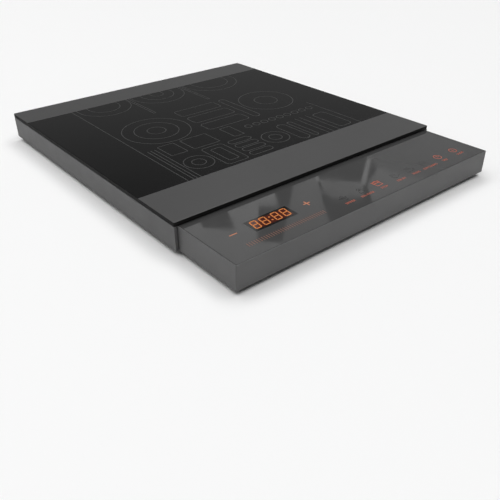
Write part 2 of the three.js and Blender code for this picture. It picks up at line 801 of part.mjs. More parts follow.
function touchSensorFilm() {
  const sheet = block(
    [-157, 157],
    [DRAWER_FRONT_Y + 4, DRAWER_BACK_Y - 3],
    [CONTROL_GLASS_Z - 0.5, CONTROL_GLASS_Z],
  );
  const room = 1;
  const window = block(
    [DISPLAY.x - DISPLAY.width / 2 - room, DISPLAY.x + DISPLAY.width / 2 + room],
    [DISPLAY.y - DISPLAY.depth / 2 - room, DISPLAY.y + DISPLAY.depth / 2 + room],
    [CONTROL_GLASS_Z - 2, CONTROL_GLASS_Z + 1],
  );
  return cut(sheet, [window]);
}

// One lit well for each of the eight icons.
function iconLightGuide() {
  const z = [CONTROL_BOARD_TOP, CONTROL_GLASS_Z - 0.5];
  const count = 8;
  const pitch = (ICONS.x[1] - ICONS.x[0]) / count;
  const wells = Array.from({ length: count }, (_, i) => {
    const x = ICONS.x[0] + i * pitch;
    return block([x + 1.5, x + pitch - 1.5], [ICONS.y[0] + 1.5, ICONS.y[1] - 1.5], [z[0] - 1, z[1] + 1]);
  });
  return cut(block(ICONS.x, ICONS.y, z), wells);
}

function displayModule() {
  return block(
    [DISPLAY.x - DISPLAY.width / 2, DISPLAY.x + DISPLAY.width / 2],
    [DISPLAY.y - DISPLAY.depth / 2, DISPLAY.y + DISPLAY.depth / 2],
    [CONTROL_BOARD_TOP, CONTROL_GLASS_Z],
  );
}

function runner() {
  const [footLow, footHigh] = RUNNER.foot;
  const [flangeLow, flangeHigh] = RUNNER.flange;
  const neck = RUNNER.neck / 2;
  const front = DRAWER_FRONT_Y + DRAWER_WALL + 8;
  const back = RAIL.stop + 6;
  const bar = alongY(
    [
      [-RUNNER.half, footLow],
      [RUNNER.half, footLow],
      [RUNNER.half, footHigh],
      [neck, footHigh],
      [neck, flangeHigh],
      [-neck, flangeHigh],
      [-neck, footHigh],
      [-RUNNER.half, footHigh],
    ],
    [front, back],
  );
  const flange = block([-6, 6], [front, DRAWER_BACK_Y - 1], [flangeLow, flangeHigh]);
  const head = block([-RUNNER.head, RUNNER.head], [RAIL.stop + 0.5, back], RUNNER.foot);
  return join([bar, flange, head]);
}

// The ribbon is folded like an accordion behind the drawer, and runs flat under the coil
// to the power board.
function ribbonCable() {
  const half = RIBBON.thickness / 2;
  const drawerEnd = DRAWER_BACK_Y - 6;
  const foldsFrom = DRAWER_BACK_Y + 2;
  const foldsTo = -64;
  const boardEnd = BOARD.y[0] + 3;
  const high = CONTROL_BOARD.z - 0.5;
  const low = 13;
  const folds = 9;
  const pointsPerFold = 6;
  const line = [[drawerEnd, high], [foldsFrom, high]];
  for (let i = 1; i <= folds * pointsPerFold; i++) {
    const t = i / (folds * pointsPerFold);
    const wave = 1.8 * Math.sin(2 * Math.PI * folds * t) * Math.sin(Math.PI * t);
    line.push([foldsFrom + (foldsTo - foldsFrom) * t, high + (low - high) * t + wave]);
  }
  const onBoard = BOARD_TOP + FIT + half;
  line.push([boardEnd - 10, low], [boardEnd - 2, onBoard], [boardEnd, onBoard]);
  const lower = line.map(([y, z]) => [y, z - half]);
  const upper = line.map(([y, z]) => [y, z + half]).reverse();
  return alongX([...lower, ...upper], RIBBON.x);
}

add("drawer_shell", drawerShell(), FINISH.housing);
add(
  "control_glass",
  glassSheet(
    2 * (DRAWER_HALF - DRAWER_RIM - FIT),
    DRAWER_LENGTH - 2 * (DRAWER_RIM + FIT),
    [CONTROL_GLASS_Z, DRAWER_TOP_Z],
  ),
  FINISH.controlGlass,
).position.y = (DRAWER_FRONT_Y + DRAWER_BACK_Y) / 2;
add("touch_sensor_film", touchSensorFilm(), FINISH.mica);
add("control_board", controlBoard(), FINISH.board);
add("display_module", displayModule(), FINISH.display);
add("icon_light_guide", iconLightGuide(), FINISH.lightGuide);
add("buzzer", rod(6, [-50, -180], [CONTROL_BOARD_TOP, CONTROL_BOARD_TOP + 4.5], 20), FINISH.darkPart);
for (const [side, sign] of [["left", -1], ["right", 1]]) {
  add(`runner_${side}`, runner(), FINISH.steel).position.x = sign * RAIL_X;
}
add("ribbon_cable", ribbonCable(), FINISH.ribbon);

// The object reaches from the front of the open drawer to the back of the cord gland.
cooktop.position.y = (DRAWER_TRAVEL - GLAND.proud) / 2;

export default cooktop;
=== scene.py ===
"""Looks for a table-top induction cooktop whose control drawer slides in under its ceramic glass.

Each operator makes one piece, or one group of like pieces, around the fixed frame of solids.
Everything is in metres, in the frame's own place.
"""

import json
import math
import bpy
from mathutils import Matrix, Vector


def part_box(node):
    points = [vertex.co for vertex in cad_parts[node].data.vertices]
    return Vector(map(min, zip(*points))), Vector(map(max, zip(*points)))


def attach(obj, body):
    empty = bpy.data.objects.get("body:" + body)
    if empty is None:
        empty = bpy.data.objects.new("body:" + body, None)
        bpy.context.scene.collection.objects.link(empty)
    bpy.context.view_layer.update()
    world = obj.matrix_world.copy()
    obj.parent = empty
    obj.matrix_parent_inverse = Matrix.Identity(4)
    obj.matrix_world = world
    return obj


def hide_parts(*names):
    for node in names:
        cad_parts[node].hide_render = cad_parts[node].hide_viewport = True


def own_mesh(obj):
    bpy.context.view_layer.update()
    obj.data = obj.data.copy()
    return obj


bl_info = {
    "name": "Induction Cooktop",
    "version": (1, 0, 0),
    "blender": (4, 5, 0),
    "location": "View3D > Sidebar > Cooktop",
    "description": "Builds the glass, housing, drawer, markings and stage of a table-top induction cooktop",
    "category": "Object",
}

import bmesh
import bpy
from bpy.props import FloatProperty, FloatVectorProperty, IntProperty, PointerProperty
from mathutils import Quaternion, Vector

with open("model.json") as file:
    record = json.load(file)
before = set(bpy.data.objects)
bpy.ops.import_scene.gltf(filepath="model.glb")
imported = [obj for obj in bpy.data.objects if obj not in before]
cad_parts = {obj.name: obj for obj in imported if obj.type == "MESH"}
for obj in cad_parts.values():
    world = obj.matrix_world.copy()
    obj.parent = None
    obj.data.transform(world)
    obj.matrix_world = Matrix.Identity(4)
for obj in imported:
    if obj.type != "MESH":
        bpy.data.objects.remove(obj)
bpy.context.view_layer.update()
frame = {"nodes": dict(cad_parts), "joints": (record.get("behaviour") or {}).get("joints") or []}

MM = 0.001
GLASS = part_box("ceramic_glass_top")
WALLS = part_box("outer_frame")
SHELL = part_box("drawer_shell")
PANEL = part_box("control_glass")
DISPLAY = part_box("display_module")
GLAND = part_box("cord_gland")
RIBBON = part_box("ribbon_cable")
FEET = [f"foot_{end}_{side}" for end in ("front", "rear") for side in ("left", "right")]
BASE_SCREWS = [f"base_screw_{number}" for number in range(1, 5)]

# The artwork on the control glass has a grid of its own: its step, and its start from the drawer's
# front left corner.
GRID = 0.892 * MM
GRID_LEFT = 19.0 * MM
GRID_FOOT = 1.1 * MM

# How far a cutter runs past the face that it opens.
PAST = 1 * MM


def grey(level):
    """The linear value of an on-screen grey from 0 to 255."""
    share = level / 255
    return share / 12.92 if share <= 0.04045 else ((share + 0.055) / 1.055) ** 2.4


def tone(red, green=None, blue=None):
    """A linear colour from on-screen levels, or a grey from one level."""
    if green is None:
        green = blue = red
    return (grey(red), grey(green), grey(blue))


# --------------------------------------------------------------------------------------------------
# What a user may change
# --------------------------------------------------------------------------------------------------


def length(name, description, millimetres):
    return FloatProperty(name=name, description=description, default=millimetres * MM, min=0, unit="LENGTH")


def colour(name, description, value):
    return FloatVectorProperty(
        name=name, description=description, default=value, size=3, min=0, max=1, subtype="COLOR"
    )


class CooktopSizes(bpy.types.PropertyGroup):
    """Sizes of the details that the frame doesn't fix."""

    corner_radius: length("Corner Radius", "Upright corners of the housing, the drawer and the glass", 1.25)
    arris: length("Arris", "Ground edge of both glasses", 0.5)
    moulded_edge: length("Moulded Edge", "Rounding of the edges of the housing and the drawer", 0.3)
    wall: length("Wall", "Thickness of the housing and drawer walls", 2.5)
    rim: length("Rim", "Top edge of the drawer round its glass", 1.0)
    front_band: length("Front Band", "Depth of the grey band at the front of the glass", 54.5)
    back_band: length("Back Band", "Depth of the grey band at the back of the glass", 40.3)
    ink: length("Ink", "How far printed marks stand on the glass", 0.03)
    field_line: length("Field Line", "Width of the lines on the cooking field", 0.9)
    symbol_line: length("Symbol Line", "Width of the lines of the touch symbols", 0.6)
    digit_height: length("Digit Height", "Height of one digit of the display", 12.2)
    digit_width: length("Digit Width", "Width of one digit of the display", 6.7)
    digit_stroke: length("Digit Stroke", "Width of one segment of a digit", 1.05)
    digit_slant: FloatProperty(
        name="Digit Slant", description="Lean of the digits", default=math.radians(7), subtype="ANGLE"
    )
    label_height: length("Label Height", "Height of the capital letters under the symbols", 2.7)
    slider_marks: IntProperty(
        name="Slider Marks", description="Number of marks along the slider", default=34, min=2
    )


class CooktopColours(bpy.types.PropertyGroup):
    """Colours of the finishes that show."""

    housing: colour("Housing", "Satin grey of the housing and the drawer", tone(90))
    band: colour("Bands", "Grey print at the front and back of the glass", tone(73))
    field: colour("Field", "Black cooking field", tone(12))
    glass_edge: colour("Glass Edge", "Ground edge of the ceramic glass", tone(25))
    field_line: colour("Field Lines", "Lines on the cooking field", tone(60))
    panel: colour("Panel", "Grey back print of the control glass", tone(64))
    window: colour("Display Window", "Dark window over the display", tone(14, 15, 15))
    lit: colour("Lit Orange", "Light of the digits", (0.6, 0.185, 0.03))
    key: colour("Key Orange", "Light of the minus and plus keys", (0.5, 0.18, 0.09))
    label: colour("Label Orange", "Light of the labels and lit symbols", (0.72, 0.13, 0.055))
    unlit: colour("Unlit Symbols", "Symbols that aren't lit", tone(52))
    floor: colour("Floor", "Pale studio floor", (0.9, 0.9, 0.9))


# --------------------------------------------------------------------------------------------------
# Modelling helpers
# --------------------------------------------------------------------------------------------------


def select_only(*pieces):
    """Object mode, with just these pieces selected and the last one active."""
    if bpy.context.mode != "OBJECT":
        bpy.ops.object.mode_set(mode="OBJECT")
    bpy.ops.object.select_all(action="DESELECT")
    for piece in pieces:
        piece.select_set(True)
        bpy.context.view_layer.objects.active = piece


def named(name):
    """Names the active object and its data, and applies its place to its mesh."""
    piece = bpy.context.object
    piece.name = piece.data.name = name
    bpy.ops.object.transform_apply(location=True, rotation=True, scale=True)
    return piece


def edit(piece):
    """Edit mode on one piece, with nothing selected."""
    select_only(piece)
    bpy.ops.object.mode_set(mode="EDIT")
    bpy.ops.mesh.select_all(action="DESELECT")


def done():
    bpy.ops.object.mode_set(mode="OBJECT")


def pick(kind, test):
    """In edit mode, selects the faces, edges or vertices that pass the test, and nothing else."""
    bpy.ops.mesh.select_mode(type=kind)
    bpy.ops.mesh.select_all(action="DESELECT")
    shape = bmesh.from_edit_mesh(bpy.context.object.data)
    parts = {"FACE": shape.faces, "EDGE": shape.edges, "VERT": shape.verts}[kind]
    for part in parts:
        if test(part):
            part.select_set(True)
    shape.select_flush_mode()
    bmesh.update_edit_mesh(bpy.context.object.data)


def near(a, b, slack=1e-5):
    return abs(a - b) < slack


def runs_along(axis):
    """A test for edges that run along one axis."""
    others = [i for i in range(3) if i != axis]
    return lambda edge: all(near(edge.verts[0].co[i], edge.verts[1].co[i]) for i in others)


along_y = runs_along(1)
upright = runs_along(2)


def level_at(height):
    """A test for edges or faces that lie at one height."""
    return lambda part: all(near(v.co.z, height) for v in part.verts)


def facing(x, y, z):
    """A test for faces that look one way."""
    way = Vector((x, y, z))
    return lambda face: face.normal.dot(way) > 0.99


def block(name, low, high):
    """A box between two corners, the start of most pieces."""
    low, high = Vector(low), Vector(high)
    select_only()
    bpy.ops.mesh.primitive_cube_add(size=1, location=(low + high) / 2)
    bpy.context.object.scale = high - low
    return named(name)


def rod(name, sides, radius, depth, middle, lean=0):
    """A cylinder, upright or leaning back about X, the start of round pieces."""
    select_only()
    bpy.ops.mesh.primitive_cylinder_add(
        vertices=sides, radius=radius, depth=depth, location=middle, rotation=(lean, 0, 0)
    )
    return named(name)


def apply_modifier(piece, kind, **settings):
    select_only(piece)
    bpy.ops.object.modifier_add(type=kind)
    modifier = piece.modifiers[-1]
    for key, value in settings.items():
        setattr(modifier, key, value)
    bpy.ops.object.modifier_apply(modifier=modifier.name)


def cut_out(piece, *cutters):
    """Takes the cutters out of the piece, and removes them."""
    for cutter in cutters:
        apply_modifier(piece, "BOOLEAN", operation="DIFFERENCE", solver="EXACT", object=cutter)
        bpy.data.objects.remove(cutter)


def soften(piece, width, segments=2, angle=50):
    """Rounds the sharp edges of a moulded piece."""
    apply_modifier(
        piece, "BEVEL", width=width, segments=segments, limit_method="ANGLE", angle_limit=math.radians(angle)
    )


def smooth(piece, angle=35):
    """Shades the bevels and curves smooth, while the large faces stay flat."""
    select_only(piece)
    bpy.ops.object.shade_smooth_by_angle(angle=math.radians(angle))
    apply_modifier(piece, "WEIGHTED_NORMAL", keep_sharp=True, weight=100)


def finish_piece(piece, body, material, replaces=(), edge_material=None):
    """Gives a finished piece its material and its body, and hides the nodes that it stands for.

    The edge material goes on every face that doesn't look up.
    """
    piece.data.materials.clear()
    piece.data.materials.append(material)
    if edge_material:
        piece.data.materials.append(edge_material)
        edit(piece)
        pick("FACE", lambda face: face.normal.z < 0.3)
        piece.active_material_index = 1
        bpy.ops.object.material_slot_assign()
        done()
    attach(piece, body)
    if replaces:
        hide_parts(*replaces)


def copy_to(piece, name, offset):
    """A copy of a piece with its own mesh, moved by the offset."""
    select_only(piece)
    bpy.ops.object.duplicate(linked=False)
    bpy.context.object.location = offset
    return named(name)


# --------------------------------------------------------------------------------------------------
# Flat marks: strips, outlines and filled shapes, drawn in edit mode on one piece
# --------------------------------------------------------------------------------------------------


def start_marks(name, height):
    """A new empty piece in edit mode, whose marks are drawn at this height."""
    select_only()
    bpy.ops.mesh.primitive_plane_add(size=MM, location=(0, 0, 0))
    piece = named(name)
    piece["height"] = height
    edit(piece)
    bpy.ops.mesh.select_all(action="SELECT")
    bpy.ops.mesh.delete(type="VERT")
    return piece


def shape_new_marks(places, order):
    """Moves the newly added vertices, taken in this order of their first places, to these places."""
    mesh = bpy.context.object.data
    shape = bmesh.from_edit_mesh(mesh)
    fresh = sorted((v for v in shape.verts if v.select), key=lambda v: order(v.co))
    height = bpy.context.object["height"]
    for vertex, (x, y) in zip(fresh, places, strict=True):
        vertex.co = (x, y, height)
    bmesh.update_edit_mesh(mesh)
    bpy.ops.mesh.select_all(action="DESELECT")


def sides_of(points, width, closed):
    """The right-hand and left-hand points of a strip that follows a line, with mitred corners."""
    line = [Vector(p) for p in points]
    count = len(line)
    right, left = [], []
    for i, here in enumerate(line):
        before = line[i - 1] if i or closed else None
        after = line[(i + 1) % count] if i < count - 1 or closed else None
        into = (here - before).normalized() if before is not None else (after - here).normalized()
        out = (after - here).normalized() if after is not None else into
        along = (into + out).normalized()
        across = Vector((along.y, -along.x))
        stretch = 1 / max(0.35, along.dot(into))
        right.append(here + across * width / 2 * stretch)
        left.append(here - across * width / 2 * stretch)
    if closed:
        right.append(right[0])
        left.append(left[0])
    return right, left


def strip(points, width, closed=False):
    """Adds a flat strip of this width along the points."""
    right, left = sides_of(points, width, closed)
    bpy.ops.mesh.primitive_grid_add(x_subdivisions=len(right) - 1, y_subdivisions=1, size=MM)
    shape_new_marks(right + left, lambda co: (co.y > 0, co.x))


def filled(points):
    """Adds a flat filled shape."""
    bpy.ops.mesh.primitive_circle_add(vertices=len(points), radius=MM, fill_type="NGON")
    shape_new_marks(points, lambda co: math.atan2(co.y, co.x))


def raise_marks(piece, thickness, sink=0.01 * MM):
    """Gives the flat marks their thickness, with their underside just inside the glass."""
    bpy.ops.mesh.select_all(action="SELECT")
    bpy.ops.mesh.remove_doubles(threshold=0.001 * MM)
    bpy.ops.mesh.normals_make_consistent(inside=False)
    bpy.ops.mesh.select_all(action="DESELECT")
    done()
    edit(piece)
    pick("FACE", lambda face: face.normal.z < 0)
    bpy.ops.mesh.flip_normals()
    done()
    apply_modifier(piece, "SOLIDIFY", thickness=thickness + sink, offset=0)
    edit(piece)
    bpy.ops.mesh.select_all(action="SELECT")
    bpy.ops.transform.translate(value=(0, 0, (thickness - sink) / 2))
    done()
    del piece["height"]


def finish_marks(piece, thickness, body, material):
    """Raises the marks that were drawn on a piece, and finishes it."""
    raise_marks(piece, thickness)
    finish_piece(piece, body, material)


def arc(x, y, radius, start, end, steps):
    """Points along part of a circle, with the angles in degrees."""
    turns = [math.radians(start + (end - start) * i / steps) for i in range(steps + 1)]
    return [(x + radius * math.cos(a), y + radius * math.sin(a)) for a in turns]


def circle(x, y, radius, steps=40):
    return arc(x, y, radius, 0, 360, steps)[:-1]


def rounded(x, y, width, depth, radius, steps=6):
    """The outline of a rectangle with round corners, about its middle."""
    dx, dy = width / 2 - radius, depth / 2 - radius
    corners = ((dx, dy, 0), (-dx, dy, 90), (-dx, -dy, 180), (dx, -dy, 270))
    return [p for cx, cy, a in corners for p in arc(x + cx, y + cy, radius, a, a + 90, steps)]


# --------------------------------------------------------------------------------------------------
# Finishes
# --------------------------------------------------------------------------------------------------


class Recipe:
    """A node material under construction: a Principled shader fed by patterns on Object coordinates."""

    def __init__(self, name, base=None, roughness=None, metallic=0.0, **sockets):
        self.material = bpy.data.materials.new(name)
        self.material.use_nodes = True
        self.nodes = self.material.node_tree.nodes
        self.links = self.material.node_tree.links
        self.shader = self.nodes["Principled BSDF"]
        self.place = self.nodes.new("ShaderNodeTexCoord").outputs["Object"]
        if base is not None:
            self.shader.inputs["Base Color"].default_value = (*base, 1)
            self.material.diffuse_color = (*base, 1)
        if roughness is not None:
            self.shader.inputs["Roughness"].default_value = roughness
        self.shader.inputs["Metallic"].default_value = metallic
        for key, value in sockets.items():
            self.shader.inputs[key.replace("_", " ")].default_value = value

    def feed(self, output, socket):
        self.links.new(output, self.shader.inputs[socket])

    def node(self, kind, output, inputs, **settings):
        """Adds a node, sets its inputs or links them to other nodes' outputs, and returns one output."""
        node = self.nodes.new("ShaderNode" + kind)
        for key, value in settings.items():
            setattr(node, key, value)
        for socket, value in inputs.items():
            if isinstance(value, bpy.types.NodeSocket):
                self.links.new(value, node.inputs[socket])
            else:
                node.inputs[socket].default_value = value
        return node.outputs[output]

    def stretched(self, scale):
        return self.node("Mapping", "Vector", {"Scale": scale, "Vector": self.place})

    def centred(self, middle):
        return self.node("Mapping", "Vector", {"Location": -middle, "Vector": self.place})

    def noise(self, scale, detail=2.0, roughness=0.5, vector=None):
        inputs = {"Scale": scale, "Detail": detail, "Roughness": roughness, "Vector": vector or self.place}
        return self.node("TexNoise", "Fac", inputs)

    def cells(self, scale):
        return self.node("TexVoronoi", "Distance", {"Scale": scale, "Vector": self.place})

    def spread(self, value, low, high, start=0.0, end=1.0):
        """Maps a pattern's values from start and end to low and high, and holds them there."""
        inputs = {"From Min": start, "From Max": end, "To Min": low, "To Max": high, "Value": value}
        return self.node("MapRange", "Result", inputs)

    def blend(self, factor, first, second):
        """A colour between two others. Each may be a colour or a node's output."""
        first, second = ((*c, 1) if isinstance(c, tuple) else c for c in (first, second))
        return self.node("Mix", 2, {"Factor": factor, 6: first, 7: second}, data_type="RGBA")

    def maths(self, operation, first, second=0):
        return self.node("Math", 0, {0: first, 1: second}, operation=operation)

    def axis(self, letter, vector=None):
        return self.node("SeparateXYZ", letter, {0: vector or self.place})

    def bump(self, height, strength, distance):
        inputs = {"Strength": strength, "Distance": distance, "Height": height}
        self.feed(self.node("Bump", "Normal", inputs), "Normal")


def lighter(base, share):
    return tuple(min(1.0, c * share) for c in base)


def moulded(name, base, roughness=0.5, grain=2600, depth=0.02 * MM, variation=0.06, **sockets):
    """Spark-eroded plastic or satin paint: fine grain, and a slight drift in tone and gloss."""
    recipe = Recipe(name, base, roughness, **sockets)
    drift = recipe.noise(14, 3)
    recipe.feed(recipe.blend(drift, lighter(base, 1 - variation), lighter(base, 1 + variation)), "Base Color")
    fine = recipe.noise(grain, 2, 0.6)
    wear = recipe.maths("ADD", fine, recipe.noise(60, 4))
    recipe.feed(recipe.spread(wear, roughness - 0.07, roughness + 0.07, 0.7, 1.3), "Roughness")
    recipe.bump(fine, 0.25, depth)
    return recipe.material


def drawn_metal(name, base, roughness, along=(1, 1, 1), grain=900):
    """Metal with fine marks that run one way."""
    recipe = Recipe(name, base, roughness, metallic=1.0)
    marks = recipe.noise(grain, 3, 0.6, recipe.stretched(along))
    recipe.feed(recipe.blend(marks, lighter(base, 0.82), lighter(base, 1.12)), "Base Color")
    recipe.feed(recipe.spread(marks, roughness - 0.1, roughness + 0.12, 0.3, 0.7), "Roughness")
    recipe.bump(marks, 0.2, 0.02 * MM)
    return recipe.material


def ceramic_print(colours, sizes):
    """Ceramic glass: grey bands at the front and back of its top, and a black field between them."""
    recipe = Recipe("ceramic_glass", colours.field[:], 0.12, IOR=1.5)
    y = recipe.axis("Y")
    front, back = GLASS[0].y + sizes.front_band, GLASS[1].y - sizes.back_band
    print_edge = 0.02 * MM
    in_front = recipe.spread(y, 1, 0, front - print_edge, front)
    behind = recipe.spread(y, 0, 1, back, back + print_edge)
    bands = recipe.maths("MAXIMUM", in_front, behind)
    speckle = recipe.noise(5200, 1, 0.5)
    cloud = recipe.noise(9, 2)
    specks = recipe.spread(speckle, 0, 1, 0.35, 0.75)
    field = recipe.blend(specks, lighter(colours.field, 0.75), lighter(colours.field, 1.5))
    band = recipe.blend(cloud, lighter(colours.band, 0.94), lighter(colours.band, 1.05))
    recipe.feed(recipe.blend(bands, field, band), "Base Color")
    haze = recipe.maths("MULTIPLY", recipe.noise(35, 4), 0.08)
    satin = recipe.maths("MULTIPLY", bands, 0.2)
    recipe.feed(recipe.maths("ADD", recipe.maths("ADD", satin, haze), 0.1), "Roughness")
    recipe.bump(speckle, 0.05, 0.005 * MM)
    return recipe.material


def panel_print(colours):
    """Control glass: clear and glossy over an even grey back print."""
    recipe = Recipe("control_glass", colours.panel[:], 0.05, IOR=1.5)
    cloud = recipe.noise(18, 3)
    recipe.feed(recipe.blend(cloud, lighter(colours.panel, 0.95), lighter(colours.panel, 1.05)), "Base Color")
    recipe.feed(recipe.spread(recipe.noise(45, 5), 0.03, 0.075, 0.3, 0.7), "Roughness")
    return recipe.material


def glowing(name, base, strength, grain=700):
    """A lit mark: an even glow with a faint diffuser grain."""
    recipe = Recipe(name, (0.02, 0.02, 0.02), 0.35)
    glow = recipe.blend(recipe.noise(grain, 2), lighter(base, 0.88), lighter(base, 1.1))
    recipe.feed(glow, "Emission Color")
    recipe.shader.inputs["Emission Strength"].default_value = strength
    return recipe.material


def ink(name, base, roughness=0.3):
    recipe = Recipe(name, base, roughness)
    recipe.feed(recipe.blend(recipe.noise(1500, 2), lighter(base, 0.85), lighter(base, 1.15)), "Base Color")
    return recipe.material


def dark_window(colours):
    """The smoked window over the display, with a painted warm glow where the digits shine into it."""
    recipe = Recipe("display_window", colours.window[:], 0.06, IOR=1.5)
    place = recipe.centred((DISPLAY[0] + DISPLAY[1]) / 2)
    x, y = (recipe.maths("ABSOLUTE", recipe.axis(letter, place)) for letter in "XY")
    across = recipe.spread(x, 1, 0, 18.5 * MM, 20.5 * MM)
    along = recipe.spread(y, 1, 0, 5.5 * MM, 7 * MM)
    inside = recipe.maths("MULTIPLY", across, along)
    glow_share = recipe.maths("MULTIPLY", inside, recipe.spread(recipe.noise(500, 2), 0.7, 1.0))
    # Painted glow: the window's colour is warmed round the digits, where their light spills into it.
    painted_digit_glow = tone(78, 26, 12)
    recipe.feed(recipe.blend(glow_share, colours.window[:], painted_digit_glow), "Base Color")
    return recipe.material


def circuit_board(name):
    """Green solder mask with raised tracks and pads."""
    recipe = Recipe(name, (0.015, 0.1, 0.04), 0.35)
    place = recipe.stretched((1, 1.7, 1))
    grid = recipe.node("TexBrick", "Fac", {"Scale": 90, "Mortar Size": 0.05, "Vector": place})
    patches = recipe.spread(recipe.noise(40, 2), 0, 1, 0.45, 0.55)
    tracks = recipe.maths("MULTIPLY", grid, patches)
    pads = recipe.spread(recipe.cells(260), 1, 0, 0.16, 0.2)
    masked = recipe.blend(tracks, (0.012, 0.085, 0.03), (0.04, 0.2, 0.08))
    recipe.feed(recipe.blend(pads, masked, (0.6, 0.6, 0.58)), "Base Color")
    recipe.bump(recipe.maths("MAXIMUM", tracks, pads), 0.4, 0.05 * MM)
    return recipe.material


def enamelled_copper(name):
    """Varnished copper strands, laid round the wire."""
    recipe = Recipe(name, (0.5, 0.17, 0.06), 0.3, metallic=1.0, Coat_Weight=0.6)
    strands = recipe.noise(1400, 3, 0.6, recipe.stretched((1, 1, 3)))
    recipe.feed(recipe.blend(strands, (0.32, 0.09, 0.03), (0.68, 0.27, 0.1)), "Base Color")
    recipe.bump(strands, 0.5, 0.1 * MM)
    return recipe.material


def flaky(name, light, dark, scale):
    """Pressed mica: overlapping pearly flakes."""
    recipe = Recipe(name, light, 0.45)
    flakes = recipe.cells(scale)
    recipe.feed(recipe.blend(recipe.spread(flakes, 0, 1, 0.1, 0.7), light, dark), "Base Color")
    recipe.feed(recipe.spread(flakes, 0.3, 0.6), "Roughness")
    recipe.bump(flakes, 0.2, 0.05 * MM)
    return recipe.material


def sintered(name, base, scale=900):
    """Ferrite or glazed ceramic: a dense granular body."""
    recipe = Recipe(name, base, 0.6)
    grains = recipe.cells(scale)
    recipe.feed(recipe.blend(grains, lighter(base, 0.7), lighter(base, 1.4)), "Base Color")
    recipe.feed(recipe.spread(grains, 0.5, 0.75), "Roughness")
    recipe.bump(grains, 0.3, 0.05 * MM)
    return recipe.material


def flat_ribbon(name):
    """White ribbon cable with its conductors showing as fine lengthwise lines."""
    recipe = Recipe(name, (0.62, 0.6, 0.55), 0.4)
    conductor_pitch = 1.0 * MM
    turns = recipe.maths("MULTIPLY", recipe.axis("X"), 2 * math.pi / conductor_pitch)
    wave = recipe.maths("SINE", turns)
    tint = recipe.blend(recipe.spread(wave, 0, 1, -1, 1), (0.4, 0.38, 0.34), (0.75, 0.73, 0.68))
    recipe.feed(tint, "Base Color")
    recipe.bump(wave, 0.4, 0.05 * MM)
    return recipe.material


# --------------------------------------------------------------------------------------------------
# Operators, one for each piece or group of like pieces
# --------------------------------------------------------------------------------------------------


class CooktopStep:
    """What all the operators share."""

    bl_options = {"REGISTER", "UNDO"}

    def execute(self, context):
        self.make(context.scene.cooktop_sizes, context.scene.cooktop_colours)
        return {"FINISHED"}


def glass_plate(name, low, high, corner, arris):
    """A sheet of glass with round corners and a ground edge all round."""
    piece = block(name, low, high)
    edit(piece)
    pick("EDGE", upright)
    bpy.ops.mesh.bevel(offset=corner, segments=6, affect="EDGES")
    pick("EDGE", lambda e: level_at(high.z)(e) or level_at(low.z)(e))
    bpy.ops.mesh.bevel(offset=arris, segments=3, affect="EDGES")
    done()
    smooth(piece)
    return piece


class COOKTOP_OT_ceramic_glass(CooktopStep, bpy.types.Operator):
    """Makes the ceramic glass top with its printed bands"""

    bl_idname = "cooktop.ceramic_glass"
    bl_label = "Ceramic Glass"

    def make(self, sizes, colours):
        high = GLASS[1] - Vector((0, 0, sizes.ink))
        piece = glass_plate("ceramic_glass", GLASS[0], high, sizes.corner_radius, sizes.arris)
        edge = moulded("ground_glass_edge", colours.glass_edge[:], 0.7, grain=2400, Specular_IOR_Level=0.15)
        top = ceramic_print(colours, sizes)
        finish_piece(piece, "housing", top, ["ceramic_glass_top"], edge_material=edge)


class COOKTOP_OT_field_lines(CooktopStep, bpy.types.Operator):
    """Draws the fine line pattern on the cooking field"""

    bl_idname = "cooktop.field_lines"
    bl_label = "Cooking Field Lines"

    def make(self, sizes, colours):
        piece = start_marks("cooking_field_lines", GLASS[1].z - sizes.ink)
        front = GLASS[0].y + sizes.front_band
        depth = (GLASS[1].y - sizes.back_band - front) / MM - 0.5

        def draw(points, closed=False):
            strip([(GLASS[0].x + x * MM, front + y * MM) for x, y in points], sizes.field_line, closed)

        # Long lines bound the pattern on its left and right.
        draw([(52.4, 0.5), (52.4, depth)])
        for x in (58.5, 62.3, 66.7):
            draw([(x, 0.5), (x, 80)])
        draw([(284, 0.5), (284, 86)])
        # The front row has rings and rounded bars.
        draw(circle(84, 28, 15), True)
        draw(circle(84, 28, 7), True)
        draw(rounded(115, 28, 26, 46, 4), True)
        draw(rounded(115, 28, 12, 32, 2), True)
        for y in (11, 22.5, 34, 45.5):
            draw(rounded(148, y, 28, 8.5, 4.2), True)
        draw(circle(182, 28, 15), True)
        draw(circle(182, 28, 7), True)
        draw(rounded(207, 28, 12, 46, 6), True)
        draw(rounded(221, 28, 6, 46, 3), True)
        for x in (234, 241, 250):
            draw([(x, 0.5), (x, 54)])
        draw(rounded(266, 28, 18, 46, 5), True)
        # A low row of squares and small rings lies behind it.
        for x, width in ((81.5, 19), (115, 32), (157, 13)):
            draw(rounded(x, 70, width, 27, 1.5), True)
        for i in range(9):
            draw(circle(180 + 11.5 * i, 70, 4, 20), True)
        # The middle row has the largest rings, with stacked bars between them.
        for radius in (37, 24, 10):
            draw(circle(97, 124, radius, 56), True)
        for y in (98, 124, 150):
            draw(rounded(170, y, 56, 19, 4), True)
        draw(rounded(210, 124, 9, 71, 4.5), True)
        for radius in (33, 14):
            draw(circle(252, 124, radius, 56), True)
        # Half rings run out under the band at the back.
        for x, radii in ((90, (32, 19)), (163.5, (34, 21, 8)), (243, (37, 25))):
            for radius in radii:
                draw([(x - radius, depth), *arc(x, depth - 6, radius, 180, 360, 40), (x + radius, depth)])
        for x in (125, 202):
            draw([(x - 1.5, depth), (x - 1.5, 172), (x + 1.5, 172), (x + 1.5, depth)])
        material = ink("field_line_print", colours.field_line[:], 0.35)
        finish_marks(piece, sizes.ink, "housing", material)


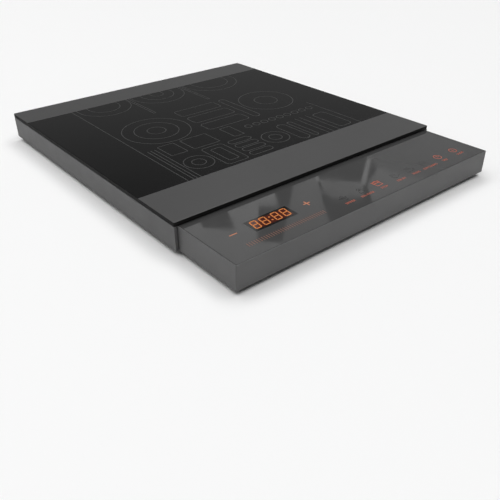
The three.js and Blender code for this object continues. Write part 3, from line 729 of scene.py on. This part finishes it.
def open_channel(name, low, high, thickness, corner):
    """Three upright walls, open at the front, top and bottom, with round rear corners."""
    piece = block(name, low, high)
    edit(piece)
    pick("EDGE", lambda e: upright(e) and near(e.verts[0].co.y, high.y))
    bpy.ops.mesh.bevel(offset=corner, segments=6, affect="EDGES")
    pick("FACE", lambda f: abs(f.normal.z) > 0.99 or f.normal.y < -0.99)
    bpy.ops.mesh.delete(type="FACE")
    done()
    apply_modifier(piece, "SOLIDIFY", thickness=thickness, offset=-1)
    return piece


class COOKTOP_OT_outer_frame(CooktopStep, bpy.types.Operator):
    """Makes the three housing walls, with the air outlet and the cord's hole in the back"""

    bl_idname = "cooktop.outer_frame"
    bl_label = "Outer Frame"

    slots = 16
    slot_pitch = 8 * MM
    first_slot = -44 * MM
    slot_half_width = 1.5 * MM
    slot_end_radius = 1.45 * MM
    slot_foot = 10 * MM
    slot_top = 21 * MM
    slot_depth = 4 * MM
    cord_hole_radius = 7 * MM
    cord_hole_depth = 8 * MM

    def slot_cutter(self):
        """The row of upright slots with round ends, as one cutter."""
        back = WALLS[1].y
        low = (self.first_slot - self.slot_half_width, back - self.slot_depth, self.slot_foot)
        high = (self.first_slot + self.slot_half_width, back + PAST, self.slot_top)
        cutter = block("slot_cutter", low, high)
        edit(cutter)
        pick("EDGE", along_y)
        bpy.ops.mesh.bevel(offset=self.slot_end_radius, segments=6, affect="EDGES")
        done()
        step = (self.slot_pitch, 0, 0)
        apply_modifier(
            cutter,
            "ARRAY",
            count=self.slots,
            use_relative_offset=False,
            use_constant_offset=True,
            constant_offset_displace=step,
        )
        return cutter

    def make(self, sizes, colours):
        piece = open_channel("housing_walls", WALLS[0], WALLS[1], sizes.wall, sizes.corner_radius)
        middle = (GLAND[0] + GLAND[1]) / 2
        slots = self.slot_cutter()
        place = (middle.x, WALLS[1].y, middle.z)
        hole = rod("cord_hole_cutter", 48, self.cord_hole_radius, self.cord_hole_depth, place, math.pi / 2)
        cut_out(piece, slots, hole)
        soften(piece, sizes.moulded_edge)
        smooth(piece)
        material = moulded("housing_satin", colours.housing[:], 0.5, Specular_IOR_Level=0.3)
        finish_piece(piece, "housing", material, ["outer_frame"])


class COOKTOP_OT_drawer_shell(CooktopStep, bpy.types.Operator):
    """Makes the drawer: front, skirts, a floor with tunnels over the rails, and a rim round its glass"""

    bl_idname = "cooktop.drawer_shell"
    bl_label = "Drawer Shell"

    floor = (7.75 * MM, 9.25 * MM)
    tunnel_roof = (15.5 * MM, 17 * MM)
    tunnel_middle = 145 * MM
    tunnel_half = 8 * MM
    tunnel_outer_half = 9.5 * MM
    rear_wall = 2 * MM
    cable_slot_x = (28 * MM, 52 * MM)
    cable_slot_z = (15.25 * MM, 17.25 * MM)

    def rooms(self, wall, rim):
        """The corners of each box that is hollowed out of the drawer."""
        low, high = SHELL
        left, right = low.x + wall, high.x - wall
        front, rear = low.y + wall, high.y - self.rear_wall
        behind, above, below = high.y + PAST, high.z + PAST, low.z - PAST
        floor_low, floor_high = self.floor
        roof_low, roof_high = self.tunnel_roof
        rail, half, outer = self.tunnel_middle, self.tunnel_half, self.tunnel_outer_half
        (slot_left, slot_right), (slot_low, slot_high) = self.cable_slot_x, self.cable_slot_z
        return [
            ((low.x + rim, low.y + rim, PANEL[0].z), (high.x - rim, high.y - rim, above)),
            ((left, front, roof_high), (right, rear, above)),
            ((-rail + outer, front, floor_high), (rail - outer, rear, above)),
            ((left, front, floor_high), (-rail - outer, rear, above)),
            ((rail + outer, front, floor_high), (right, rear, above)),
            ((left, front, below), (right, behind, floor_low)),
            ((-rail - half, front, below), (-rail + half, behind, roof_low)),
            ((rail - half, front, below), (rail + half, behind, roof_low)),
            ((slot_left, rear - PAST, slot_low), (slot_right, behind, slot_high)),
        ]

    def make(self, sizes, colours):
        piece = block("drawer_shell_body", *SHELL)
        edit(piece)
        pick("EDGE", upright)
        bpy.ops.mesh.bevel(offset=sizes.corner_radius, segments=6, affect="EDGES")
        done()
        cut_out(piece, *(block("room_cutter", *room) for room in self.rooms(sizes.wall, sizes.rim)))
        soften(piece, sizes.moulded_edge)
        smooth(piece)
        material = moulded("drawer_satin", colours.housing[:], 0.45, Specular_IOR_Level=0.35)
        finish_piece(piece, "drawer", material, ["drawer_shell"])


class COOKTOP_OT_control_glass(CooktopStep, bpy.types.Operator):
    """Makes the control glass"""

    bl_idname = "cooktop.control_glass"
    bl_label = "Control Glass"

    # This glass is the thinner one, so its ground edge is smaller.
    arris_share = 0.6

    def make(self, sizes, colours):
        arris = sizes.arris * self.arris_share
        piece = glass_plate("control_panel_glass", PANEL[0], PANEL[1], sizes.corner_radius, arris)
        finish_piece(piece, "drawer", panel_print(colours), ["control_glass"])


def on_panel(points):
    """Places points of the panel's artwork, which is laid out on its own grid."""
    return [(SHELL[0].x + GRID_LEFT + x * GRID, SHELL[0].y + GRID_FOOT + y * GRID) for x, y in points]


class COOKTOP_OT_display(CooktopStep, bpy.types.Operator):
    """Makes the display: its smoked window, four slanted digits and the colon"""

    bl_idname = "cooktop.display"
    bl_label = "Display"

    # On the artwork's grid.
    window = (27.0, 29.9, 77.8, 49.2)
    window_corner = 0.4
    digit_middles = (34.2, 45.0, 59.2, 70.1)
    digit_foot = 33.2
    upright_level = 6.85
    half_gap = 0.12
    colon = ((52.6, 42.6), (51.9, 36.9))
    colon_radius = 0.95

    def segment(self, ends, stroke, slant, foot, middle):
        """One pointed bar of a digit, between two ends in the digit's own upright frame."""
        first, last = (Vector(end) for end in ends)
        along = (last - first).normalized()
        across = Vector((-along.y, along.x)) * stroke / 2
        start, end = first + along * self.half_gap, last - along * self.half_gap
        tip = along * stroke / 2
        near_side = [start, start + tip - across, end - tip - across]
        far_side = [end, end - tip + across, start + tip + across]
        lean = math.tan(slant)
        level = self.upright_level
        filled(on_panel([(middle + c.x + (c.y - level) * lean, foot + c.y) for c in near_side + far_side]))

    def make(self, sizes, colours):
        x0, y0, x1, y1 = self.window
        window = start_marks("display_window", PANEL[1].z)
        outline = rounded((x0 + x1) / 2, (y0 + y1) / 2, x1 - x0, y1 - y0, self.window_corner, 3)
        filled(on_panel(outline))
        finish_marks(window, sizes.ink, "drawer", dark_window(colours))

        digits = start_marks("display_digits", PANEL[1].z + sizes.ink)
        stroke = sizes.digit_stroke / GRID
        half = (sizes.digit_width / GRID - stroke) / 2
        low, high = stroke / 2, sizes.digit_height / GRID - stroke / 2
        centre = (low + high) / 2
        level_bars = [((-half, y), (half, y)) for y in (low, centre, high)]
        upright_bars = [
            ((x, foot), (x, head)) for foot, head in ((low, centre), (centre, high)) for x in (-half, half)
        ]
        for middle in self.digit_middles:
            for ends in level_bars + upright_bars:
                self.segment(ends, stroke, sizes.digit_slant, self.digit_foot, middle)
        for x, y in self.colon:
            filled(on_panel(circle(x, y, self.colon_radius, 20)))
        finish_marks(digits, sizes.ink, "drawer", glowing("digit_light", colours.lit[:], 1.0))


class COOKTOP_OT_keys(CooktopStep, bpy.types.Operator):
    """Makes the minus and plus keys and the slider's marks"""

    bl_idname = "cooktop.keys"
    bl_label = "Keys And Slider"

    # On the artwork's grid, apart from the widths.
    minus_ends = ((3.8, 39.3), (12.3, 39.3))
    minus_width = 1.2 * MM
    plus_middle = (97.6, 39.5)
    plus_reach = 4.2
    plus_half_width = 0.7
    slider_ends = (7.0, 98.9)
    mark_ends = (14.6, 20.2)
    mark_width = 0.5 * MM

    def plus_outline(self):
        """A plus, gone round anticlockwise from its inner corner at the upper right."""
        half, reach = self.plus_half_width, self.plus_reach
        quarter = [(half, half), (half, reach), (-half, reach)]
        points = []
        for _ in range(4):
            points += quarter
            quarter = [(-y, x) for x, y in quarter]
        x, y = self.plus_middle
        return [(x + px, y + py) for px, py in points]

    def make(self, sizes, colours):
        keys = start_marks("plus_minus_keys", PANEL[1].z)
        strip(on_panel(self.minus_ends), self.minus_width)
        filled(on_panel(self.plus_outline()))
        finish_marks(keys, sizes.ink, "drawer", glowing("key_light", colours.key[:], 0.9))

        marks = start_marks("slider_marks", PANEL[1].z)
        first, last = self.slider_ends
        for i in range(sizes.slider_marks):
            x = first + (last - first) * i / (sizes.slider_marks - 1)
            strip(on_panel([(x, y) for y in self.mark_ends]), self.mark_width)
        finish_marks(marks, sizes.ink, "drawer", glowing("slider_print", colours.key[:], 0.42))


class COOKTOP_OT_symbols(CooktopStep, bpy.types.Operator):
    """Makes the eight touch symbols: five unlit, three lit"""

    bl_idname = "cooktop.symbols"
    bl_label = "Touch Symbols"

    foot = 19.6
    unlit_at = {"hot_pot": 132.1, "kettle": 157.1, "wok": 209.5, "frying_pan": 234.0, "tall_pot": 258.2}
    lit_at = {"stew_pot": 182.4, "clock": 284.7, "power": 313.2}

    def hot_pot(self):
        yield [(-3, 0.3), (3, 0.3), (2.6, 3.2), (-2.6, 3.2)], True
        yield [(-4.6, 5.8), (-4, 4.4), (-2.6, 3.2)], False
        yield [(4.6, 5.8), (4, 4.4), (2.6, 3.2)], False
        yield [(-4.6, 5.8), *arc(-2.3, 5.6, 1.3, 180, 360, 8), *arc(0, 5.6, 1.0, 180, 360, 8)], False
        yield [*arc(2.2, 5.6, 1.2, 180, 360, 8), (4.6, 5.8)], False
        yield arc(0, 7.2, 1.5, -30, 210, 16), False

    def kettle(self):
        yield [(-4.2, 0.3), (4.2, 0.3), (3.9, 2.4), *arc(0, 2.6, 3.1, 0, 180, 16), (-3.9, 2.4)], True
        yield arc(0, 6.0, 2.9, 8, 172, 16), False
        yield circle(0, 6.4, 0.6, 10), True
        yield [(0, 8.9), (0, 9.5)], False

    def stew_pot(self):
        yield [(-4.0, 0.3), (4.0, 0.3), (4.0, 5.4), (-4.0, 5.4)], True
        yield [(-5.2, 5.6), (5.2, 5.6)], False
        yield [(-4.4, 6.0), (-4.0, 8.4), (4.0, 8.4), (4.4, 6.0)], False
        yield [(-5.4, 8.4), (5.4, 8.4)], False
        yield [(-1.6, 9.1), (1.6, 9.1)], False

    def wok(self):
        yield [(-5.0, 4.0), *arc(0, 5.2, 4.9, 205, 325, 16), (6.4, 3.6), (7.4, 3.4)], False
        for x in (-2.4, 0, 2.4):
            yield [(x - 0.2, 9.3), (x + 0.3, 4.2)], False

    def frying_pan(self):
        yield [(-6.0, 3.6), (-5.6, 0.5), (3.4, 0.5), (4.6, 3.4), (7.6, 3.6)], False
        for x in (-3, -0.6, 1.8):
            sway = [(x + 0.45 * math.sin(t * 1.05), 4.4 + t * 0.82) for t in range(7)]
            yield sway, False

    def tall_pot(self):
        yield [(-4.0, 0.3), (4.0, 0.3), (4.0, 8.6), (-4.0, 8.6)], True
        water = [(-2.6 + t * 0.65, 4.7 + 0.35 * math.sin(t * 1.2)) for t in range(9)]
        yield [(-4.0, 4.7), *water, (4.0, 4.9)], False
        yield [(-1.4, 9.2), (1.4, 9.2)], False

    def clock(self):
        yield circle(0, 4.7, 4.4, 40), True
        yield [(0, 7.4), (0, 4.7), (2.2, 4.2)], False

    def power(self):
        yield circle(0, 4.7, 4.4, 40), True
        yield [(0, 2.6), (0, 6.8)], False

    def draw_symbols(self, places, width):
        for symbol, x in places.items():
            for points, closed in getattr(self, symbol)():
                strip(on_panel([(x + px, self.foot + py) for px, py in points]), width, closed)

    def make(self, sizes, colours):
        printed = ink("unlit_symbol_print", colours.unlit[:], 0.15)
        unlit = start_marks("unlit_symbols", PANEL[1].z)
        self.draw_symbols(self.unlit_at, sizes.symbol_line)
        finish_marks(unlit, sizes.ink, "drawer", printed)

        lit = start_marks("lit_symbols", PANEL[1].z)
        self.draw_symbols(self.lit_at, sizes.symbol_line)
        finish_marks(lit, sizes.ink, "drawer", glowing("symbol_light", colours.label[:], 0.7))


class COOKTOP_OT_labels(CooktopStep, bpy.types.Operator):
    """Makes the plain function words under the touch symbols"""

    bl_idname = "cooktop.labels"
    bl_label = "Function Words"

    foot = 12.9
    words = (
        ("SIMMER", 132.1, 13.1),
        ("BOIL WATER", 157.1, 18.2),
        ("STEW", 182.4, 10.4),
        ("STIR FRY", 209.5, 13.7),
        ("FRYING", 234.0, 11.6),
        ("SLOW COOKING", 258.2, 23.0),
        ("TIMER", 284.7, 8.4),
        ("ON/OFF", 313.2, 11.2),
    )

    def word(self, text, middle, width, height):
        """One word, made a mesh and brought to its height and width."""
        select_only()
        bpy.ops.object.text_add(location=(0, 0, 0))
        bpy.context.object.data.body = text
        bpy.context.object.data.resolution_u = 3
        bpy.ops.object.convert(target="MESH")
        piece = bpy.context.object
        xs = [v.co.x for v in piece.data.vertices]
        ys = [v.co.y for v in piece.data.vertices]
        place = on_panel([(middle - width / 2, self.foot)])[0]
        scale = (width * GRID / (max(xs) - min(xs)), height / (max(ys) - min(ys)))
        piece.scale = (*scale, 1)
        piece.location = (place[0] - min(xs) * scale[0], place[1] - min(ys) * scale[1], PANEL[1].z)
        return named("word")

    def make(self, sizes, colours):
        pieces = [self.word(*entry, sizes.label_height) for entry in self.words]
        select_only(*pieces)
        bpy.ops.object.join()
        labels = named("function_words")
        labels["height"] = PANEL[1].z
        edit(labels)
        finish_marks(labels, sizes.ink, "drawer", glowing("label_print", colours.label[:], 0.6))


def repeat(piece, prefix, nodes, material):
    """Finishes a piece made at the first of these nodes, and a copy of it at each of the others."""
    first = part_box(nodes[0])[0]
    for name in nodes[1:]:
        other = copy_to(piece, prefix + name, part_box(name)[0] - first)
        finish_piece(other, "housing", material, [name])
    finish_piece(piece, "housing", material, nodes[:1])


def round_face(way):
    """A test for the large round face of a cylinder that looks one way."""
    return lambda face: face.normal.dot(Vector(way)) > 0.99 and len(face.verts) > 8


class COOKTOP_OT_feet(CooktopStep, bpy.types.Operator):
    """Makes the four rubber feet, each with a round recess in its sole"""

    bl_idname = "cooktop.feet"
    bl_label = "Feet"

    sole_share = 0.9
    rounding = 0.8 * MM
    rim = 2.2 * MM
    recess = 0.6 * MM
    cone = 2.5 * MM
    cone_depth = 0.3 * MM

    def make(self, sizes, colours):
        low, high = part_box(FEET[0])
        middle = (low + high) / 2
        foot = rod("rubber_" + FEET[0], 48, (high.x - low.x) / 2, high.z - low.z, middle)
        edit(foot)
        pick("FACE", facing(0, 0, -1))
        bpy.ops.transform.resize(value=(self.sole_share, self.sole_share, 1), center_override=middle)
        bpy.ops.mesh.bevel(offset=self.rounding, segments=4, affect="EDGES")
        pick("FACE", round_face((0, 0, -1)))
        for width, depth in ((self.rim, self.recess), (self.cone, self.cone_depth)):
            bpy.ops.mesh.inset(thickness=width)
            bpy.ops.transform.translate(value=(0, 0, depth))
        done()
        smooth(foot, 30)
        repeat(foot, "rubber_", FEET, moulded("foot_rubber", tone(38), 0.75, grain=1800))


class COOKTOP_OT_screws(CooktopStep, bpy.types.Operator):
    """Makes the base screws, with domed heads and crossed recesses"""

    bl_idname = "cooktop.screws"
    bl_label = "Base Screws"

    head = 2 * MM
    shoulder = 1.5 * MM
    dome = 1.1 * MM
    cross_reach = 1.7 * MM
    cross_half_width = 0.35 * MM
    cross_depth = 1.1 * MM

    def make(self, sizes, colours):
        low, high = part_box(BASE_SCREWS[0])
        middle = (low + high) / 2
        place = (middle.x, middle.y, low.z + self.head / 2)
        screw = rod("panhead_" + BASE_SCREWS[0], 32, (high.x - low.x) / 2, self.head, place)
        edit(screw)
        pick("FACE", facing(0, 0, 1))
        bpy.ops.mesh.inset(thickness=self.shoulder)
        shank = high.z - low.z - self.head
        bpy.ops.mesh.extrude_region_move(TRANSFORM_OT_translate={"value": (0, 0, shank)})
        pick("EDGE", level_at(low.z))
        bpy.ops.mesh.bevel(offset=self.dome, segments=5, affect="EDGES")
        done()
        arm, half = self.cross_reach, self.cross_half_width
        for w, d in ((arm, half), (half, arm)):
            foot = (middle.x - w, middle.y - d, low.z - PAST)
            head = (middle.x + w, middle.y + d, low.z + self.cross_depth)
            cut_out(screw, block("cross_cutter", foot, head))
        smooth(screw, 30)
        steel = drawn_metal("zinc_steel", (0.5, 0.5, 0.52), 0.35)
        repeat(screw, "panhead_", BASE_SCREWS, steel)


class COOKTOP_OT_gland(CooktopStep, bpy.types.Operator):
    """Makes the cord's rubber gland, stepped and hollow"""

    bl_idname = "cooktop.gland"
    bl_label = "Cord Gland"

    gap = 0.25 * MM
    rounding = 0.7 * MM
    rim = 2.2 * MM
    dish = 0.5 * MM
    lip = 2.9 * MM
    closed_end = 1.4 * MM
    step = 3.4 * MM

    def make(self, sizes, colours):
        low, high = GLAND
        middle = (low + high) / 2
        flange = WALLS[1].y + self.gap
        place = (middle.x, (flange + high.y) / 2, middle.z)
        piece = rod("rubber_cord_gland", 48, (high.x - low.x) / 2, high.y - flange, place, math.pi / 2)
        edit(piece)
        pick("FACE", facing(0, 1, 0))
        bpy.ops.mesh.bevel(offset=self.rounding, segments=4, affect="EDGES")
        pick("FACE", round_face((0, 1, 0)))
        bpy.ops.mesh.inset(thickness=self.rim)
        bpy.ops.transform.translate(value=(0, -self.dish, 0))
        bpy.ops.mesh.inset(thickness=self.lip)
        bore = low.y - high.y + self.closed_end
        bpy.ops.mesh.extrude_region_move(TRANSFORM_OT_translate={"value": (0, bore, 0)})
        inner = round_face((0, -1, 0))
        pick("FACE", lambda face: inner(face) and near(face.verts[0].co.y, flange))
        bpy.ops.mesh.inset(thickness=self.step)
        bpy.ops.mesh.extrude_region_move(TRANSFORM_OT_translate={"value": (0, low.y - flange, 0)})
        done()
        smooth(piece, 30)
        finish_piece(piece, "housing", moulded("gland_rubber", tone(34), 0.7), ["cord_gland"])


class COOKTOP_OT_ribbon(CooktopStep, bpy.types.Operator):
    """Makes the ribbon cable: a length with fixed folds, and a flat run under the coil"""

    bl_idname = "cooktop.ribbon"
    bl_label = "Ribbon Cable"

    thickness = 0.4 * MM
    gap = 0.25 * MM
    folds = 9
    fold_height = 1.8 * MM
    fold_steps = 140
    run_level = 13 * MM
    run_steps = 80
    inside_drawer = 8 * MM
    under_board = 0.5 * MM
    rise = 8 * MM
    rise_from_end = 10 * MM

    def sheet(self, name, start, end, steps, level):
        """A thin sheet along Y, as high as level says at each place, then made solid."""
        low, high = RIBBON
        select_only()
        bpy.ops.mesh.primitive_grid_add(x_subdivisions=2, y_subdivisions=steps, size=1, location=(0, 0, 0))
        piece = named(name)
        edit(piece)
        bpy.ops.mesh.select_all(action="SELECT")
        bpy.ops.transform.resize(value=(high.x - low.x, end - start, 1), center_override=(0, 0, 0))
        bpy.ops.transform.translate(value=((low.x + high.x) / 2, (start + end) / 2, 0))
        mesh = bmesh.from_edit_mesh(piece.data)
        for vert in mesh.verts:
            vert.co.z = level(vert.co.y)
        bmesh.update_edit_mesh(piece.data)
        done()
        apply_modifier(piece, "SOLIDIFY", thickness=self.thickness, offset=0)
        smooth(piece, 60)
        return piece

    def make(self, sizes, colours):
        low, high = RIBBON
        slide = next(joint for joint in frame["joints"] if joint["name"] == "drawer_slide")
        fixed = slide["deforming_nodes"][0]["fixed_end_y_m"]
        first = low.y + self.inside_drawer
        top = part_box("control_board")[0].z - self.under_board
        on_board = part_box("power_board")[1].z + self.gap + self.thickness / 2

        def folded(y):
            t = min(1, max(0, (y - first) / (fixed - first)))
            wave = math.sin(2 * math.pi * self.folds * t) * math.sin(math.pi * t) ** 2
            return top + (self.run_level - top) * t * t * (3 - 2 * t) - self.fold_height * wave

        def flat(y):
            t = min(1, max(0, (y - high.y + self.rise_from_end) / self.rise))
            return self.run_level + (on_board - self.run_level) * t

        white = flat_ribbon("ribbon_white")
        folds = self.sheet("ribbon_folds", low.y, fixed, self.fold_steps, folded)
        finish_piece(folds, "housing", white, ["ribbon_cable"])
        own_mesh(folds)
        run = self.sheet("ribbon_run", fixed, high.y, self.run_steps, flat)
        finish_piece(run, "housing", white, ["ribbon_cable"])


class COOKTOP_OT_inner_parts(CooktopStep, bpy.types.Operator):
    """Gives every solid that stays as it is the finish of its own material"""

    bl_idname = "cooktop.inner_parts"
    bl_label = "Inner Parts"

    def make(self, sizes, colours):
        black = moulded("base_plastic", tone(44), 0.55, grain=1500, depth=0.05 * MM)
        dark = moulded("fan_plastic", tone(36), 0.45)
        seal = moulded("seal_silicone", tone(20), 0.6)
        steel = drawn_metal("runner_steel", (0.55, 0.55, 0.57), 0.3, (1, 0.05, 1))
        spring = drawn_metal("spring_steel", (0.45, 0.45, 0.46), 0.3)
        extruded = drawn_metal("extruded_aluminium", (0.72, 0.73, 0.75), 0.32, (1, 0.04, 1))
        copper = enamelled_copper("winding_copper")
        mica = flaky("mica_flakes", (0.55, 0.48, 0.34), (0.4, 0.33, 0.22), 350)
        film = moulded("sensor_film", (0.5, 0.32, 0.08), 0.3, grain=600)
        ceramic = sintered("glazed_ceramic", (0.75, 0.72, 0.66), 1500)
        ferrite = sintered("ferrite_grain", (0.035, 0.035, 0.038))
        board = circuit_board("board_mask")
        epoxy = moulded("black_epoxy", tone(32), 0.35, grain=3200)
        yellow = moulded("capacitor_case", (0.62, 0.36, 0.03), 0.3, grain=800)
        lead = moulded("silicone_lead", (0.3, 0.03, 0.02), 0.5)
        guide = moulded("light_guide_white", (0.75, 0.75, 0.73), 0.35)
        # Each finish goes on every solid whose name starts with one of these.
        finishes = (
            (black, ("base_pan", "coil_carrier", "mains_terminal")),
            (dark, ("fan_frame", "fan_rotor", "buzzer")),
            (seal, ("glass_seal",)),
            (steel, ("runner",)),
            (spring, ("coil_spring",)),
            (extruded, ("heat_sink", "guide_rail")),
            (copper, ("coil_winding", "choke_coil")),
            (mica, ("mica_sheet",)),
            (film, ("touch_sensor_film",)),
            (ceramic, ("thermal_sensor", "mains_fuse")),
            (ferrite, ("ferrite_bar", "control_transformer")),
            (board, ("power_board", "control_board")),
            (epoxy, ("power_transistor", "bridge_rectifier", "display_module")),
            (yellow, ("resonant_capacitor", "smoothing_capacitor", "filter_capacitor")),
            (lead, ("coil_lead", "sensor_lead", "fan_lead")),
            (guide, ("icon_light_guide",)),
        )
        for name, node in frame["nodes"].items():
            for material, starts in finishes:
                if name.startswith(starts):
                    node.data.materials.clear()
                    node.data.materials.append(material)


class COOKTOP_OT_stage(CooktopStep, bpy.types.Operator):
    """Makes the pale floor, the studio light and the camera"""

    bl_idname = "cooktop.stage"
    bl_label = "Stage"

    eye = (-0.38076, -0.48280, 0.26712)
    azimuth, elevation, roll = (math.radians(angle) for angle in (-39.71, 32.44, -0.21))
    lens = 43.045
    sensor = 36

    # The strength of each dim card, and its outline in millimetres from the drawer's front left corner.
    card_outlines = (
        (
            0.72,
            (
                (-5, -3), (45, -3), (47, 2.5), (34.4, 17), (72, 58.8), (84.4, 47.3), (102, 74), (49, 74),
                (32.3, 41), (14.6, 59.8), (18.3, 68.5), (16, 74), (-5, 74),
            ),
        ),
        (
            0.42,
            (
                (44, -3), (98, -3), (100, 4.6), (123, 35), (129, 40), (144, 61), (151, 74), (127, 74),
                (47, 2.5),
            ),
        ),
        (0.42, ((131, 40), (145, 58), (170, 30), (152, 12), (130, 28))),
        (0.45, ((173, 27), (208, 44), (219, 10), (229, -3), (150, -3), (152, 3))),
        (0.24, ((221, 74), (218, 62), (208, 45), (220, 10), (230, -3), (330, -3), (330, 74))),
        (
            0.75,
            (
                (151, 72), (143, 61), (171, 27), (219, 61.5), (216.5, 64.5), (171.5, 33), (147.5, 61),
                (155, 72),
            ),
        ),
    )
    # How many times farther off than the glass the cards hang, seen from the mirrored eye.
    card_reach = 6

    # The sine of the height above the horizon, and the light there: a bright ring with a dim middle overhead,
    # so that the glass isn't washed out when it is seen from above.
    sky_lights = ((0.3, 0.049), (0.46, 0.027), (0.74, 0.042), (0.84, 1), (0.93, 1), (0.96, 0.1))
    sky_strength = 3.3
    floor_size = 60

    def make(self, sizes, colours):
        self.floor(colours)
        self.sky()
        self.lamps()
        self.cards()
        self.camera()

    def cards(self):
        """Large dim cards, placed so that the control glass mirrors each one where its outline says."""
        eye = Vector(self.eye)
        eye.z = 2 * PANEL[1].z - eye.z
        corner = Vector((SHELL[0].x, SHELL[0].y, PANEL[1].z))
        for number, (strength, outline) in enumerate(self.card_outlines):
            points = [eye + (corner + Vector((x, y, 0)) * MM - eye) * self.card_reach for x, y in outline]
            card = start_marks(f"studio_card_{number}", points[0].z)
            filled([(point.x, point.y) for point in points])
            done()
            del card["height"]
            card.data.materials.append(glowing(f"card_{number}", (1, 1, 1), strength, grain=4))
            card.visible_camera = card.visible_diffuse = card.visible_shadow = False

    def floor(self, colours):
        select_only()
        bpy.ops.mesh.primitive_plane_add(size=self.floor_size, location=(0, 0, 0))
        floor = named("studio_floor")
        matt = Recipe("studio_floor", colours.floor[:], 0.9, Specular_IOR_Level=0.1)
        floor.data.materials.append(matt.material)

    def sky(self):
        """A dome with a bright ring high up, which is plain white where it is seen directly."""
        world = bpy.data.worlds.new("studio")
        bpy.context.scene.world = world
        world.use_nodes = True
        nodes, links = world.node_tree.nodes, world.node_tree.links
        background = nodes["Background"]
        direction = nodes.new("ShaderNodeTexCoord").outputs["Generated"]
        split = nodes.new("ShaderNodeSeparateXYZ")
        links.new(direction, split.inputs[0])
        ramp = nodes.new("ShaderNodeValToRGB")
        stops = ramp.color_ramp.elements
        for number, (height, light) in enumerate(self.sky_lights):
            stop = stops[number] if number < 2 else stops.new(height)
            stop.position = height
            stop.color = (light, light, light, 1)
        links.new(split.outputs["Z"], ramp.inputs[0])
        plain = nodes.new("ShaderNodeBackground")
        plain.inputs["Color"].default_value = (1, 1, 1, 1)
        plain.inputs["Strength"].default_value = 1.0
        links.new(ramp.outputs["Color"], background.inputs["Color"])
        background.inputs["Strength"].default_value = self.sky_strength
        mix = nodes.new("ShaderNodeMixShader")
        links.new(nodes.new("ShaderNodeLightPath").outputs["Is Camera Ray"], mix.inputs[0])
        links.new(background.outputs[0], mix.inputs[1])
        links.new(plain.outputs[0], mix.inputs[2])
        links.new(mix.outputs[0], nodes["World Output"].inputs["Surface"])

    def lamp(self, name, place, target, width, depth, power):
        select_only()
        bpy.ops.object.light_add(type="AREA", location=place)
        lamp = bpy.context.object
        lamp.name = lamp.data.name = name
        lamp.data.shape = "RECTANGLE"
        lamp.data.size, lamp.data.size_y = width, depth
        lamp.data.energy = power
        lamp.rotation_mode = "QUATERNION"
        lamp.rotation_quaternion = (Vector(target) - Vector(place)).to_track_quat("-Z", "Y")

    def lamps(self):
        self.lamp("left_softbox", (-2.4, 1.0, 2.0), (0, 0, 0.02), 1.2, 1.2, 9)

    def camera(self):
        level, rise = math.cos(self.elevation), math.sin(self.elevation)
        back = Vector((math.sin(self.azimuth) * level, -math.cos(self.azimuth) * level, rise))
        select_only()
        bpy.ops.object.camera_add(location=self.eye)
        camera = bpy.context.object
        camera.name = camera.data.name = "view_camera"
        camera.rotation_mode = "QUATERNION"
        camera.rotation_quaternion = (-back).to_track_quat("-Z", "Y") @ Quaternion((0, 0, 1), self.roll)
        camera.data.sensor_width = self.sensor
        camera.data.lens = self.lens
        camera.data.clip_start, camera.data.clip_end = 0.01, 100
        bpy.context.scene.camera = camera
        bpy.context.scene.view_settings.view_transform = "Standard"


# --------------------------------------------------------------------------------------------------
# Panel, registration and the run
# --------------------------------------------------------------------------------------------------

STEPS = [
    COOKTOP_OT_stage,
    COOKTOP_OT_ceramic_glass,
    COOKTOP_OT_field_lines,
    COOKTOP_OT_outer_frame,
    COOKTOP_OT_drawer_shell,
    COOKTOP_OT_control_glass,
    COOKTOP_OT_display,
    COOKTOP_OT_keys,
    COOKTOP_OT_symbols,
    COOKTOP_OT_labels,
    COOKTOP_OT_feet,
    COOKTOP_OT_screws,
    COOKTOP_OT_gland,
    COOKTOP_OT_ribbon,
    COOKTOP_OT_inner_parts,
]


class COOKTOP_PT_panel(bpy.types.Panel):
    """Lists the sizes, the colours and the steps"""

    bl_idname = "COOKTOP_PT_panel"
    bl_label = "Induction Cooktop"
    bl_space_type = "VIEW_3D"
    bl_region_type = "UI"
    bl_category = "Cooktop"

    def draw(self, context):
        layout = self.layout
        for group in (context.scene.cooktop_sizes, context.scene.cooktop_colours):
            column = layout.column(align=True)
            for name in group.bl_rna.properties.keys():
                if name not in ("rna_type", "name"):
                    column.prop(group, name)
        for step in STEPS:
            layout.operator(step.bl_idname)


CLASSES = [CooktopSizes, CooktopColours, *STEPS, COOKTOP_PT_panel]


def register():
    for cls in CLASSES:
        bpy.utils.register_class(cls)
    bpy.types.Scene.cooktop_sizes = PointerProperty(type=CooktopSizes)
    bpy.types.Scene.cooktop_colours = PointerProperty(type=CooktopColours)


def unregister():
    del bpy.types.Scene.cooktop_colours
    del bpy.types.Scene.cooktop_sizes
    for cls in reversed(CLASSES):
        bpy.utils.unregister_class(cls)


def main():
    register()
    for step in STEPS:
        family, name = step.bl_idname.split(".")
        getattr(getattr(bpy.ops, family), name)()


if __name__ == "__main__":
    main()
